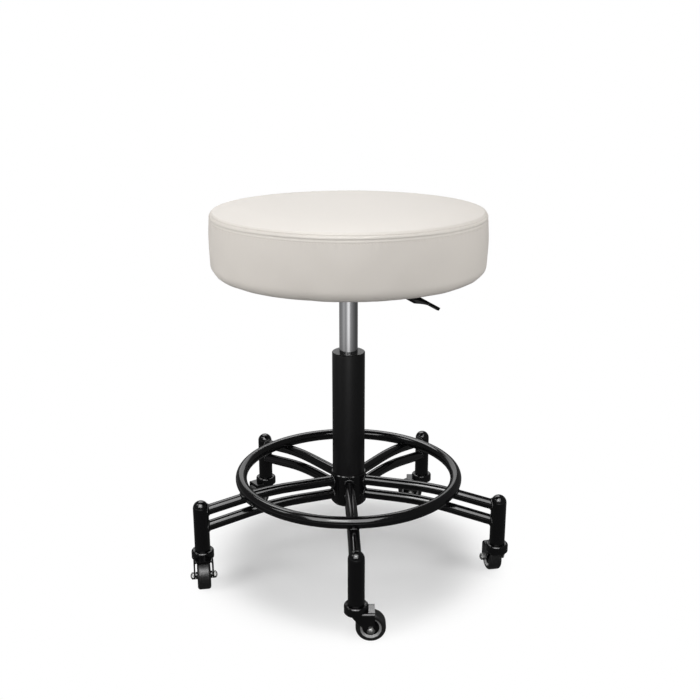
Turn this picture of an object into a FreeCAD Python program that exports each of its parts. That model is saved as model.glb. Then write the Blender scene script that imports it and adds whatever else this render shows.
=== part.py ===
import FreeCAD, Part
import math
import os

# Rolling salon stool in millimetres: +Z is up, the floor is z = 0, the column stands on x = y = 0.
# Seen from the front, along +Y, +X is to the right.

Vector = FreeCAD.Vector
UP = Vector(0, 0, 1)
SIDEWAYS = Vector(0, 1, 0)
OUTWARD = Vector(1, 0, 0)

# Fits and gaps
WELD_GAP = 0.05
RUN_FIT = 0.05
SIDE_GAP = 0.3
SWIVEL_GAP = 0.4

# Wheel and axle
WHEEL_DIAMETER = 42.0
WHEEL_WIDTH = 20.0
TYRE_SHOULDER = 4.0
TYRE_DEPTH = 7.5
TYRE_LIP = 3.0
CORE_RIM = 2.0
CORE_WEB = 8.0
CORE_BOSS_DIAMETER = 11.0
AXLE_DIAMETER = 6.0
AXLE_HEAD_ACROSS = 9.4
AXLE_HEAD_HEIGHT = 3.2
AXLE_DOME_HEIGHT = 2.0

# Caster fork, cup and stem
FORK_SHEET = 2.4
FORK_TRAIL = 20.0
FORK_SIDE_ROOM = 2.6
FORK_TOP_ROOM = 1.6
FORK_END_RADIUS = 5.5
FORK_BEND = 4.0
FORK_THROAT = 9.0
CUP_DIAMETER = 34.0
CUP_NECK_DIAMETER = 25.0
CUP_RIM = 4.8
CUP_HEIGHT = 7.6
CUP_SKIRT = 5.0
CUP_EDGE = 1.2
STEM_DIAMETER = 10.0
STEM_REACH = 22.0
STEM_HEAD_DIAMETER = 16.0
STEM_HEAD_HEIGHT = 1.9

# Legs: the rest heading of each caster, counted from +X, in the order of the arms
CASTER_HEADINGS = {"front": 0.0, "right": 100.0, "back_right": 180.0, "back_left": 217.0, "left": 280.0}
FRONT_ARM_ANGLE = -87.5
POST_CIRCLE_RADIUS = 236.7
POST_DIAMETER = 23.4
POST_WALL = 2.0
POST_LENGTH = 68.3
CAP_SPIGOT = 8.0
PLUG_LENGTH = 24.0

# Arm tubes and foot ring
ARM_TUBE_DIAMETER = 16.0
ARM_TUBE_WALL = 1.5
UPPER_ARM_HEIGHT = 61.7
UPPER_ARM_RISE = 18.0
UPPER_ARM_BEND_AT = 135.0
LOWER_ARM_HEIGHT = 35.3
LOWER_ARM_RISE = 22.0
LOWER_ARM_BEND_AT = 121.0
ARM_BEND_RADIUS = 450.0
RING_RADIUS = 168.0
RING_TUBE_DIAMETER = 17.4
RING_TUBE_WALL = 1.5
RING_SADDLE = 3.3

# Hub, column and guide bush
HUB_WALL = 2.45
HUB_MARGIN = 13.8
HUB_EDGE = 1.4
COLUMN_DIAMETER = 50.0
COLUMN_WALL = 2.0
COLUMN_LENGTH = 243.7
COLUMN_DROP = 1.5
COLUMN_FLOOR = 3.0
BUSH_FLANGE = 3.0
BUSH_LENGTH = 81.0
BUSH_EDGE = 0.8

# Gas spring
CYLINDER_DIAMETER = 28.0
CYLINDER_WALL = 1.5
CYLINDER_EXPOSED = 85.3
CYLINDER_INSERTED = 149.0
CYLINDER_HEAD = 14.0
TAPER_DROP = 0.7
GLAND_LENGTH = 12.0
STROKE_UP = 65.0
PISTON_LENGTH = 20.0
PISTON_STOP = 6.0
PISTON_GROOVE = 1.5
ROD_DIAMETER = 10.0
ROD_SPIGOT_DIAMETER = 8.0
ROD_TAIL = 4.0
CLIP_DIAMETER = 14.0
CLIP_THICKNESS = 1.2
CLIP_GROOVE = 0.8
RACE_DIAMETER = 26.0
RACE_THICKNESS = 1.5
BALL_DIAMETER = 4.0
BALL_CIRCLE_RADIUS = 9.0
BALL_COUNT = 12
BUTTON_DIAMETER = 8.0
BUTTON_LENGTH = 30.0
BUTTON_DOME_RADIUS = 6.0
BUTTON_STANDOUT = 6.0

# Seat mechanism, drawn with the lever along +X and then turned to the lever's own angle
LEVER_ANGLE = -15.0
SOCKET_WALL = 5.0
SOCKET_DROP = 8.0
SOCKET_SHORT = 1.5
PLATE_SHEET = 2.5
PLATE_DEPTH = 31.0
PLATE_LENGTH = 120.0
PLATE_WIDTH = 150.0
CHANNEL_WIDTH = 70.0
PLATE_BEND = 4.0
PLATE_CORNER = 10.0
BOLT_SPACING_X = 90.0
BOLT_SPACING_Y = 112.0
BOLT_DIAMETER = 6.0
BOLT_HEAD_ACROSS = 10.0
BOLT_HEAD_HEIGHT = 4.0
TEE_NUT_BARREL = 8.5
TEE_NUT_FLANGE = 18.0
TEE_NUT_SHEET = 1.4
LEVER_PIVOT_X = 26.0
LEVER_HEADROOM = 7.0
LEVER_ROD_DIAMETER = 8.0
LEVER_TOE = 3.0
LEVER_BEND_X = 38.2
LEVER_SLOPE = 25.5
LEVER_HUB_DIAMETER = 11.0
LEVER_HUB_LENGTH = 24.0
PIN_DIAMETER = 6.0
PIN_HEAD_DIAMETER = 9.0
PIN_HEAD_HEIGHT = 1.5
GRIP_START = 37.0
GRIP_NECK_DIAMETER = 12.5
GRIP_NECK_LENGTH = 33.0
GRIP_TAPER_LENGTH = 20.0
GRIP_TONGUE_LENGTH = 18.0
GRIP_TONGUE_WIDTH = 9.0
GRIP_TONGUE_THICKNESS = 4.0
GRIP_HOLLOW = 1.2
GRIP_BORE_DEPTH = 26.0
GRIP_EDGE = 1.8

# Seat
SEAT_RADIUS = 203.0
SEAT_THICKNESS = 96.5
TOP_FLAT_RADIUS = 120.0
TOP_EDGE_INSET = 6.8
CROWN_DROP = 3.5
SEAM_INSET = 2.0
SEAM_DROP = 12.4
SHOULDER_BULGE = 1.2
SIDE_FOOT_INSET = 1.2
BOTTOM_ROUND = 19.5
COVER_THICKNESS = 1.2
COVER_GAP = 0.2
WRAP_WIDTH = 14.0
BOARD_THICKNESS = 12.0
BOARD_INSET = 27.0
DUST_COVER_THICKNESS = 0.6
DUST_COVER_LAP = 7.0
DUST_COVER_ROOM = 2.0

# Heights that follow from the sizes above
axle_z = WHEEL_DIAMETER / 2
fork_inner = WHEEL_WIDTH / 2 + FORK_SIDE_ROOM
fork_outer = fork_inner + FORK_SHEET
fork_rear = FORK_TRAIL + FORK_END_RADIUS
bridge_low = WHEEL_DIAMETER + FORK_TOP_ROOM
bridge_top = bridge_low + FORK_SHEET
post_low = bridge_top + CUP_HEIGHT + SWIVEL_GAP
post_top = post_low + POST_LENGTH
upper_arm_z = post_low + UPPER_ARM_HEIGHT + UPPER_ARM_RISE
lower_arm_z = post_low + LOWER_ARM_HEIGHT + LOWER_ARM_RISE
hub_low = lower_arm_z - HUB_MARGIN
hub_top = upper_arm_z + HUB_MARGIN
hub_radius = COLUMN_DIAMETER / 2 + WELD_GAP + HUB_WALL
column_bore = COLUMN_DIAMETER / 2 - COLUMN_WALL
column_low = hub_low - COLUMN_DROP
column_top = column_low + COLUMN_LENGTH
bush_top = column_top + BUSH_FLANGE
floor_top = column_low + COLUMN_FLOOR
lower_race_top = floor_top + RACE_THICKNESS
upper_race_low = lower_race_top + WELD_GAP + BALL_DIAMETER + SIDE_GAP
upper_race_top = upper_race_low + RACE_THICKNESS
clip_top = column_low - SIDE_GAP
cylinder_low = bush_top - CYLINDER_INSERTED
cylinder_bore = CYLINDER_DIAMETER / 2 - CYLINDER_WALL
piston_low = cylinder_low + GLAND_LENGTH + STROKE_UP + PISTON_STOP
socket_low = bush_top + CYLINDER_EXPOSED
channel_low = socket_low + SOCKET_DROP
channel_floor = channel_low + PLATE_SHEET
board_low = channel_low + PLATE_DEPTH
board_top = board_low + BOARD_THICKNESS
board_radius = SEAT_RADIUS - BOARD_INSET
flange_low = board_low - PLATE_SHEET
pivot_z = board_low - LEVER_HEADROOM
button_top = pivot_z - LEVER_ROD_DIAMETER / 2 - SIDE_GAP
cylinder_top = button_top - BUTTON_STANDOUT
socket_top = cylinder_top - SOCKET_SHORT
seat_low = board_low - COVER_GAP - COVER_THICKNESS
seat_top = seat_low + SEAT_THICKNESS


class Outline:
    """A closed outline in the x, z plane, drawn edge by edge."""

    def __init__(self, x, z):
        self.start = Vector(x, 0, z)
        self.end = self.start
        self.edges = []

    def line(self, x, z):
        """Adds a straight edge to the point x, z."""
        point = Vector(x, 0, z)
        self.edges.append(Part.LineSegment(self.end, point).toShape())
        self.end = point
        return self

    def arc(self, middle, end):
        """Adds a circular edge through one point to another."""
        through = Vector(middle[0], 0, middle[1])
        point = Vector(end[0], 0, end[1])
        self.edges.append(Part.Arc(self.end, through, point).toShape())
        self.end = point
        return self

    def bend(self, heading, end):
        """Adds a circular edge that leaves in a direction and ends at a point."""
        chord = Vector(end[0], 0, end[1]) - self.end
        ahead = chord.dot(heading)
        aside = chord - heading * ahead
        turn = math.atan2(aside.Length, ahead)
        radius = chord.dot(chord) / (2 * aside.Length)
        swing = aside * (radius * (1 - math.cos(turn)) / aside.Length)
        through = self.end + heading * (radius * math.sin(turn)) + swing
        return self.arc((through.x, through.z), end)

    def face(self):
        """Closes the outline with a straight edge and fills it."""
        closing = Part.LineSegment(self.end, self.start).toShape()
        return Part.Face(Part.Wire(self.edges + [closing]))

    def turned(self):
        """Spins the outline about the z axis."""
        return self.face().revolve(Vector(), UP, 360)

    def extruded(self, width):
        """Gives the outline a width along y, half to each side."""
        face = self.face()
        face.translate(SIDEWAYS * (-width / 2))
        return face.extrude(SIDEWAYS * width)


def rod(radius, low, high, x=0.0, y=0.0):
    """An upright round bar."""
    return Part.makeCylinder(radius, high - low, Vector(x, y, low), UP)


def cross_rod(radius, half_length, x, z):
    """A round bar along y, centred on the x, z plane."""
    return Part.makeCylinder(radius, 2 * half_length, Vector(x, -half_length, z), SIDEWAYS)


def tube(outer, inner, low, high):
    """An upright round tube on the z axis."""
    return rod(outer, low, high).cut(rod(inner, low, high))


def block(x, y, z):
    """A box given by its lowest and highest value on each axis."""
    return Part.makeBox(x[1] - x[0], y[1] - y[0], z[1] - z[0], Vector(x[0], y[0], z[0]))


def hexagon_bar(across, low, high):
    """An upright hexagonal bar on the z axis, by its width across the flats."""
    corner = across / math.sqrt(3)
    angles = [math.radians(60 * turn) for turn in range(7)]
    points = [Vector(corner * math.cos(angle), corner * math.sin(angle), low) for angle in angles]
    return Part.Face(Part.makePolygon(points)).extrude(UP * (high - low))


def rounded(shape, radius, wanted):
    """Fillets the edges that the test picks by their middle point."""
    edges = [edge for edge in shape.Edges if wanted(edge.CenterOfGravity)]
    return shape.makeFillet(radius, edges)


def turned_about_column(shape, angle):
    """A copy of a shape, turned about the column axis."""
    copy = shape.copy()
    copy.rotate(Vector(), UP, angle)
    return copy


def group(shapes):
    """Separate solids kept together in one node."""
    return Part.makeCompound(list(shapes))


def save(name, shape):
    """Writes one node."""
    shape.exportStep(os.path.join("parts", name + ".step"))


def arm_angles():
    """The angles of the arms about the column, front first and then round to the left."""
    step = 360.0 / len(CASTER_HEADINGS)
    return [FRONT_ARM_ANGLE + step * index for index in range(len(CASTER_HEADINGS))]


def round_the_legs(shape):
    """One copy of a shape for every arm."""
    return group(turned_about_column(shape, angle) for angle in arm_angles())


# Arms, posts and ring
def arm_slope(rise, bend_at):
    """The angle at which an arm runs down to its post, in radians."""
    return math.atan2(rise, POST_CIRCLE_RADIUS - bend_at)


def arm_path(rise, bend_at, hub_z):
    """An arm's centreline: level from the column axis, a wide bend, then down to the post axis."""
    slope = arm_slope(rise, bend_at)
    reach = ARM_BEND_RADIUS * math.tan(slope / 2)
    bend_start = Vector(bend_at - reach, 0, hub_z)
    bend_end = Vector(bend_at + reach * math.cos(slope), 0, hub_z - reach * math.sin(slope))
    half = slope / 2
    middle = bend_start + Vector(ARM_BEND_RADIUS * math.sin(half), 0, ARM_BEND_RADIUS * (math.cos(half) - 1))
    edges = [
        Part.LineSegment(Vector(0, 0, hub_z), bend_start).toShape(),
        Part.Arc(bend_start, middle, bend_end).toShape(),
        Part.LineSegment(bend_end, Vector(POST_CIRCLE_RADIUS, 0, hub_z - rise)).toShape(),
    ]
    return Part.Wire(edges)


def arm_height(radius, rise, bend_at, hub_z):
    """The height of an arm's centreline at a distance from the column."""
    slope = arm_slope(rise, bend_at)
    reach = ARM_BEND_RADIUS * math.tan(slope / 2)
    along = radius - (bend_at - reach)
    if along <= 0:
        return hub_z
    if along <= ARM_BEND_RADIUS * math.sin(slope):
        return hub_z - ARM_BEND_RADIUS + math.sqrt(ARM_BEND_RADIUS ** 2 - along ** 2)
    return hub_z - (radius - bend_at) * math.tan(slope)


def ring_height():
    """The foot ring's centre: it lies on the upper arms, sunk a little into a welded saddle."""
    arm_z = arm_height(RING_RADIUS, UPPER_ARM_RISE, UPPER_ARM_BEND_AT, upper_arm_z)
    return arm_z + (ARM_TUBE_DIAMETER + RING_TUBE_DIAMETER) / 2 - RING_SADDLE


def arm(rise, bend_at, hub_z):
    """One bent arm tube, shaped at both ends to fit the hub sleeve and the post."""
    path = arm_path(rise, bend_at, hub_z)
    walls = []
    for radius in (ARM_TUBE_DIAMETER / 2, ARM_TUBE_DIAMETER / 2 - ARM_TUBE_WALL):
        section = Part.Wire(Part.makeCircle(radius, Vector(0, 0, hub_z), OUTWARD))
        walls.append(path.makePipeShell([section], True, True))
    hub = rod(hub_radius + WELD_GAP, 0, seat_top)
    post = rod(POST_DIAMETER / 2 + WELD_GAP, 0, seat_top, POST_CIRCLE_RADIUS)
    return walls[0].cut(walls[1]).cut(hub).cut(post)


def upper_arm():
    """The upper arm tube, with the saddle that the foot ring is welded into."""
    saddle = Part.makeTorus(RING_RADIUS, RING_TUBE_DIAMETER / 2 + WELD_GAP, Vector(0, 0, ring_height()))
    return arm(UPPER_ARM_RISE, UPPER_ARM_BEND_AT, upper_arm_z).cut(saddle)


def foot_ring():
    """The round foot rest, a closed hoop of tube."""
    centre = Vector(RING_RADIUS, 0, ring_height())
    outside = Part.Wire(Part.makeCircle(RING_TUBE_DIAMETER / 2, centre, SIDEWAYS))
    inside = Part.Wire(Part.makeCircle(RING_TUBE_DIAMETER / 2 - RING_TUBE_WALL, centre, SIDEWAYS))
    return Part.Face([outside, inside]).revolve(Vector(), UP, 360)


def leg_post():
    """An upright post tube, open at both ends."""
    outer = rod(POST_DIAMETER / 2, post_low, post_top, POST_CIRCLE_RADIUS)
    return outer.cut(rod(POST_DIAMETER / 2 - POST_WALL, post_low, post_top, POST_CIRCLE_RADIUS))


def post_cap():
    """The half-round cap on a post, with its spigot inside the tube."""
    centre = Vector(POST_CIRCLE_RADIUS, 0, post_top)
    dome = Part.makeSphere(POST_DIAMETER / 2, centre, UP, 0, 90, 360)
    spigot_radius = POST_DIAMETER / 2 - POST_WALL - WELD_GAP
    return dome.fuse(rod(spigot_radius, post_top - CAP_SPIGOT, post_top, POST_CIRCLE_RADIUS)).removeSplitter()


def stem_plug():
    """The plug in a post's foot that the caster stem is screwed into."""
    outer = rod(POST_DIAMETER / 2 - POST_WALL - WELD_GAP, post_low, post_low + PLUG_LENGTH, POST_CIRCLE_RADIUS)
    hole = rod(STEM_DIAMETER / 2 + WELD_GAP, post_low, post_low + PLUG_LENGTH, POST_CIRCLE_RADIUS)
    return outer.cut(hole)


def caster_stem():
    """The stem that a caster turns on, with the riveted head that holds its fork."""
    head_top = bridge_low - SIDE_GAP
    shank = rod(STEM_DIAMETER / 2, head_top, post_low + STEM_REACH, POST_CIRCLE_RADIUS)
    head = rod(STEM_HEAD_DIAMETER / 2, head_top - STEM_HEAD_HEIGHT, head_top, POST_CIRCLE_RADIUS)
    return shank.fuse(head).removeSplitter()


# One caster, drawn on the z axis with its wheel trailing along +X
def fork():
    """The folded fork: a bridge plate and two cheeks that narrow to the axle."""
    low = axle_z - FORK_END_RADIUS
    length = (-fork_outer, fork_rear)
    outer = block(length, (-fork_outer, fork_outer), (low, bridge_top))
    inner = block(length, (-fork_inner, fork_inner), (low, bridge_low))
    outer = rounded(outer, FORK_BEND, lambda at: at.z > bridge_top - WELD_GAP and abs(at.y) > fork_inner)
    inner = rounded(inner, FORK_BEND - FORK_SHEET,
                    lambda at: at.z > bridge_low - WELD_GAP and abs(at.y) > fork_inner - WELD_GAP)
    tail = block((0, fork_rear), (-fork_outer, fork_outer), (low, bridge_top))
    plan = rod(fork_outer, low, bridge_top).fuse(tail)
    folded = outer.cut(inner).common(plan).common(fork_side().extruded(2 * fork_outer))
    folded = folded.cut(rod(STEM_DIAMETER / 2 + RUN_FIT, low, bridge_top))
    return folded.cut(cross_rod(AXLE_DIAMETER / 2 + WELD_GAP, fork_outer, FORK_TRAIL, axle_z))


def fork_side():
    """The fork's outline from the side."""
    run = FORK_TRAIL + FORK_THROAT
    fall = bridge_low - axle_z
    reach = math.hypot(run, fall)
    lean = math.atan2(fall, run) + math.asin(FORK_END_RADIUS / reach)
    tangent = (FORK_TRAIL - FORK_END_RADIUS * math.sin(lean), axle_z - FORK_END_RADIUS * math.cos(lean))
    half = (math.pi / 2 + lean) / 2 - lean
    lowest = (FORK_TRAIL + FORK_END_RADIUS * math.sin(half), axle_z - FORK_END_RADIUS * math.cos(half))
    outline = Outline(-fork_outer, bridge_top).line(fork_rear, bridge_top).line(fork_rear, axle_z)
    outline.arc(lowest, tangent).line(-FORK_THROAT, bridge_low).line(-fork_outer, bridge_low)
    return outline


def swivel_cup():
    """The round bearing cup between the fork and the post: a rounded rim and a skirt on the fork's crown."""
    outer = CUP_DIAMETER / 2
    inner = STEM_DIAMETER / 2 + RUN_FIT
    crown = fork_outer + WELD_GAP
    skirt_low = bridge_top - CUP_SKIRT
    rim_top = bridge_top + CUP_RIM
    outline = Outline(inner, bridge_top).line(crown, bridge_top).line(crown, skirt_low)
    outline.line(outer - CUP_EDGE, skirt_low).bend(OUTWARD, (outer, skirt_low + CUP_EDGE))
    outline.line(outer, rim_top).bend(UP, (CUP_NECK_DIAMETER / 2, bridge_top + CUP_HEIGHT))
    cup = outline.line(inner, bridge_top + CUP_HEIGHT).turned()
    return cup.cut(block((0, fork_rear), (-crown, crown), (skirt_low, bridge_top)))


def axle_dome(low):
    """The domed end of the axle bolt or its nut, as a cap on the z axis."""
    radius = AXLE_HEAD_ACROSS / 2
    ball = (radius ** 2 + AXLE_DOME_HEIGHT ** 2) / (2 * AXLE_DOME_HEIGHT)
    lean = math.asin(radius / ball) / 2
    middle = (ball * math.sin(lean), low + AXLE_DOME_HEIGHT - ball * (1 - math.cos(lean)))
    return Outline(0, low).line(radius, low).arc(middle, (0, low + AXLE_DOME_HEIGHT)).turned()


def wheel_axle():
    """The axle: a bolt through both cheeks and its cap nut."""
    seat = fork_outer
    crown = seat + AXLE_HEAD_HEIGHT
    cap = hexagon_bar(AXLE_HEAD_ACROSS, seat, crown).fuse(axle_dome(crown)).removeSplitter()
    head = cap.copy()
    head.rotate(Vector(), OUTWARD, 180)
    bolt = head.fuse(rod(AXLE_DIAMETER / 2, -seat, crown)).removeSplitter()
    nut = cap.cut(rod(AXLE_DIAMETER / 2 + WELD_GAP, seat, crown + WELD_GAP))
    return on_axle(group([bolt, nut]))


def on_axle(shape):
    """Lays a shape that was drawn on the z axis along the wheel's axle."""
    shape.rotate(Vector(), OUTWARD, 90)
    shape.translate(Vector(FORK_TRAIL, 0, axle_z))
    return shape


def tyre():
    """The rubber tyre: flat tread, round shoulders and a rounded lip towards the core."""
    outer = WHEEL_DIAMETER / 2
    side = WHEEL_WIDTH / 2
    bore = outer - TYRE_DEPTH
    tread = side - TYRE_SHOULDER
    outline = Outline(bore, -side + TYRE_LIP).bend(UP * -1, (bore + TYRE_LIP, -side))
    outline.line(outer - TYRE_SHOULDER, -side).bend(OUTWARD, (outer, -tread))
    outline.line(outer, tread).bend(UP, (outer - TYRE_SHOULDER, side))
    outline.line(bore + TYRE_LIP, side).bend(OUTWARD * -1, (bore, side - TYRE_LIP))
    return on_axle(outline.turned())


def wheel_core():
    """The wheel's core: a rim under the tyre, dished faces and a long boss on the axle."""
    outer = WHEEL_DIAMETER / 2 - TYRE_DEPTH - WELD_GAP
    half_rim = WHEEL_WIDTH / 2 - TYRE_LIP
    half_boss = fork_inner - SIDE_GAP
    boss = CORE_BOSS_DIAMETER / 2
    dish = Outline(boss, CORE_WEB / 2).bend(OUTWARD, (outer - CORE_RIM, half_rim)).line(boss, half_rim).turned()
    far_dish = dish.copy()
    far_dish.rotate(Vector(), OUTWARD, 180)
    disc = rod(outer, -half_rim, half_rim).cut(dish).cut(far_dish)
    core = disc.fuse(rod(boss, -half_boss, half_boss)).removeSplitter()
    return on_axle(core.cut(rod(AXLE_DIAMETER / 2 + RUN_FIT, -half_boss, half_boss)))


def at_post(shape, arm_angle, heading):
    """Turns a caster piece to its rest heading and sets it under its post."""
    placed = turned_about_column(shape, heading)
    angle = math.radians(arm_angle)
    placed.translate(Vector(POST_CIRCLE_RADIUS * math.cos(angle), POST_CIRCLE_RADIUS * math.sin(angle), 0))
    return placed


# Column and gas spring
def hub_sleeve():
    """The sleeve that the arms are welded to, bevelled at both ends."""
    inner = COLUMN_DIAMETER / 2 + WELD_GAP
    outline = Outline(inner, hub_low).line(hub_radius - HUB_EDGE, hub_low).line(hub_radius, hub_low + HUB_EDGE)
    outline.line(hub_radius, hub_top - HUB_EDGE).line(hub_radius - HUB_EDGE, hub_top)
    return outline.line(inner, hub_top).turned()


def column_tube():
    """The column tube with the floor that carries the gas spring's rod."""
    shell = tube(COLUMN_DIAMETER / 2, column_bore, column_low, column_top)
    floor = tube(column_bore, ROD_SPIGOT_DIAMETER / 2 + RUN_FIT, column_low, floor_top)
    return shell.fuse(floor).removeSplitter()


def guide_bush():
    """The plastic bush in the column's mouth that guides the gas cylinder."""
    outer = COLUMN_DIAMETER / 2
    bore = CYLINDER_DIAMETER / 2 + RUN_FIT
    low = column_top - BUSH_LENGTH
    outline = Outline(bore, low).line(column_bore - WELD_GAP, low).line(column_bore - WELD_GAP, column_top)
    outline.line(outer, column_top).line(outer, bush_top - BUSH_EDGE).line(outer - BUSH_EDGE, bush_top)
    return outline.line(bore, bush_top).turned()


def bearing_balls():
    """The balls of the thrust bearing, on their circle."""
    centre_z = lower_race_top + WELD_GAP + BALL_DIAMETER / 2
    ball = Part.makeSphere(BALL_DIAMETER / 2, Vector(BALL_CIRCLE_RADIUS, 0, centre_z))
    return group(turned_about_column(ball, 360.0 * index / BALL_COUNT) for index in range(BALL_COUNT))


def piston_rod():
    """The rod that stands in the column: a spigot through the floor, a groove for its clip, and the shaft."""
    clip_low = clip_top - CLIP_THICKNESS
    shaft = rod(ROD_DIAMETER / 2, upper_race_top, piston_low + PISTON_LENGTH)
    spigot = rod(ROD_SPIGOT_DIAMETER / 2, clip_low - ROD_TAIL, upper_race_top)
    groove = tube(ROD_SPIGOT_DIAMETER, ROD_SPIGOT_DIAMETER / 2 - CLIP_GROOVE, clip_low, clip_top)
    return shaft.fuse(spigot).removeSplitter().cut(groove)


def retaining_clip():
    """The spring clip in the rod's groove, open on one side."""
    inner = ROD_SPIGOT_DIAMETER / 2 - CLIP_GROOVE + WELD_GAP
    whole = tube(CLIP_DIAMETER / 2, inner, clip_top - CLIP_THICKNESS, clip_top)
    return whole.cut(block((0, CLIP_DIAMETER), (-inner / 2, inner / 2), (clip_top - CLIP_THICKNESS, clip_top)))


def piston_head():
    """The piston on the rod's end, with a groove round it for the seal."""
    low = piston_low
    high = piston_low + PISTON_LENGTH
    outer = cylinder_bore - RUN_FIT
    third = PISTON_LENGTH / 3
    head = tube(outer, ROD_DIAMETER / 2 + WELD_GAP, low, high)
    return head.cut(tube(cylinder_bore, outer - PISTON_GROOVE, low + third, high - third))


def taper_radius(z):
    """The gas cylinder's radius in its taper, which narrows from the socket's mouth to the cylinder's top."""
    return CYLINDER_DIAMETER / 2 - TAPER_DROP * (z - socket_low) / (cylinder_top - socket_low)


def gas_cylinder():
    """The chrome cylinder: open below for its gland, with a tapered head and the valve's hole."""
    outline = Outline(0, cylinder_low).line(CYLINDER_DIAMETER / 2, cylinder_low)
    outline.line(CYLINDER_DIAMETER / 2, socket_low).line(taper_radius(cylinder_top), cylinder_top)
    body = outline.line(0, cylinder_top).turned()
    body = body.cut(rod(cylinder_bore, cylinder_low, socket_low - CYLINDER_HEAD))
    return body.cut(rod(BUTTON_DIAMETER / 2 + RUN_FIT, socket_low - CYLINDER_HEAD, cylinder_top))


def release_button():
    """The valve's button, a pin with a domed top."""
    radius = BUTTON_DIAMETER / 2
    lean = math.asin(radius / BUTTON_DOME_RADIUS)
    edge_z = button_top - BUTTON_DOME_RADIUS * (1 - math.cos(lean))
    middle_x = BUTTON_DOME_RADIUS * math.sin(lean / 2)
    middle = (middle_x, button_top - BUTTON_DOME_RADIUS * (1 - math.cos(lean / 2)))
    outline = Outline(0, button_top - BUTTON_LENGTH).line(radius, button_top - BUTTON_LENGTH)
    return outline.line(radius, edge_z).arc(middle, (0, button_top)).turned()


# Seat mechanism
def taper_socket():
    """The socket that the gas cylinder's taper is wedged into."""
    outer = CYLINDER_DIAMETER / 2 + SOCKET_WALL
    outline = Outline(taper_radius(socket_low) + WELD_GAP, socket_low).line(outer, socket_low)
    outline.line(outer, socket_top)
    return outline.line(taper_radius(socket_top) + WELD_GAP, socket_top).turned()


def bolt_places():
    """The four places of the seat bolts, in the mechanism's own frame."""
    return [Vector(x, y, 0) for x in (-BOLT_SPACING_X / 2, BOLT_SPACING_X / 2)
            for y in (-BOLT_SPACING_Y / 2, BOLT_SPACING_Y / 2)]


def at_bolts(shape):
    """One copy of a shape at each seat bolt."""
    copies = []
    for place in bolt_places():
        copy = shape.copy()
        copy.translate(place)
        copies.append(copy)
    return group(copies)


def mounting_plate():
    """The pressed plate under the seat board: a channel for the lever between two flanges."""
    length = (-PLATE_LENGTH / 2, PLATE_LENGTH / 2)
    wall = CHANNEL_WIDTH / 2
    outside = block(length, (-wall, wall), (channel_low, board_low))
    inside = block(length, (PLATE_SHEET - wall, wall - PLATE_SHEET), (channel_floor, board_low))
    outside = rounded(outside, PLATE_BEND,
                      lambda at: at.z < channel_low + WELD_GAP and abs(at.y) > wall - WELD_GAP)
    inside = rounded(inside, PLATE_BEND - PLATE_SHEET,
                     lambda at: at.z < channel_floor + WELD_GAP and abs(at.y) > wall - PLATE_SHEET - WELD_GAP)
    flanges = block(length, (-PLATE_WIDTH / 2, PLATE_WIDTH / 2), (flange_low, board_low))
    flanges = rounded(flanges, PLATE_CORNER, lambda at: abs(at.x) > PLATE_LENGTH / 2 - WELD_GAP
                      and abs(at.y) > PLATE_WIDTH / 2 - WELD_GAP)
    plate = outside.fuse(flanges).cut(inside).removeSplitter()
    plate = plate.cut(rod(CYLINDER_DIAMETER / 2 + SOCKET_WALL + WELD_GAP, channel_low, channel_floor))
    plate = plate.cut(cross_rod(PIN_DIAMETER / 2 + WELD_GAP, wall, LEVER_PIVOT_X, pivot_z))
    return plate.cut(at_bolts(rod(BOLT_DIAMETER / 2 + WELD_GAP, flange_low, board_low)))


def lever_pin():
    """The lever's pivot pin, headed outside both walls of the channel."""
    wall = CHANNEL_WIDTH / 2 + WELD_GAP
    pin = cross_rod(PIN_DIAMETER / 2, wall + PIN_HEAD_HEIGHT, LEVER_PIVOT_X, pivot_z)
    heads = cross_rod(PIN_HEAD_DIAMETER / 2, wall + PIN_HEAD_HEIGHT, LEVER_PIVOT_X, pivot_z)
    return pin.fuse(heads.cut(cross_rod(PIN_HEAD_DIAMETER, wall, LEVER_PIVOT_X, pivot_z))).removeSplitter()


def along_lever(distance):
    """The point of the lever's sloping centreline at a distance from its bend."""
    slope = math.radians(LEVER_SLOPE)
    return Vector(LEVER_BEND_X + distance * math.cos(slope), 0, pivot_z - distance * math.sin(slope))


def lever_direction():
    """The way the lever's outer part points."""
    return (along_lever(1) - along_lever(0)).normalize()


def lever_arm():
    """The lever's bent rod with the hub that it turns on."""
    radius = LEVER_ROD_DIAMETER / 2
    inner = Part.makeCylinder(radius, LEVER_TOE + LEVER_BEND_X, Vector(-LEVER_TOE, 0, pivot_z), OUTWARD)
    outer_length = GRIP_START + GRIP_BORE_DEPTH - WELD_GAP
    outer = Part.makeCylinder(radius, outer_length, along_lever(0), lever_direction())
    elbow = Part.makeSphere(radius, along_lever(0))
    hub = cross_rod(LEVER_HUB_DIAMETER / 2, LEVER_HUB_LENGTH / 2, LEVER_PIVOT_X, pivot_z)
    bore = cross_rod(PIN_DIAMETER / 2 + RUN_FIT, LEVER_HUB_LENGTH, LEVER_PIVOT_X, pivot_z)
    return inner.fuse([outer, elbow, hub]).removeSplitter().cut(bore)


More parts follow.
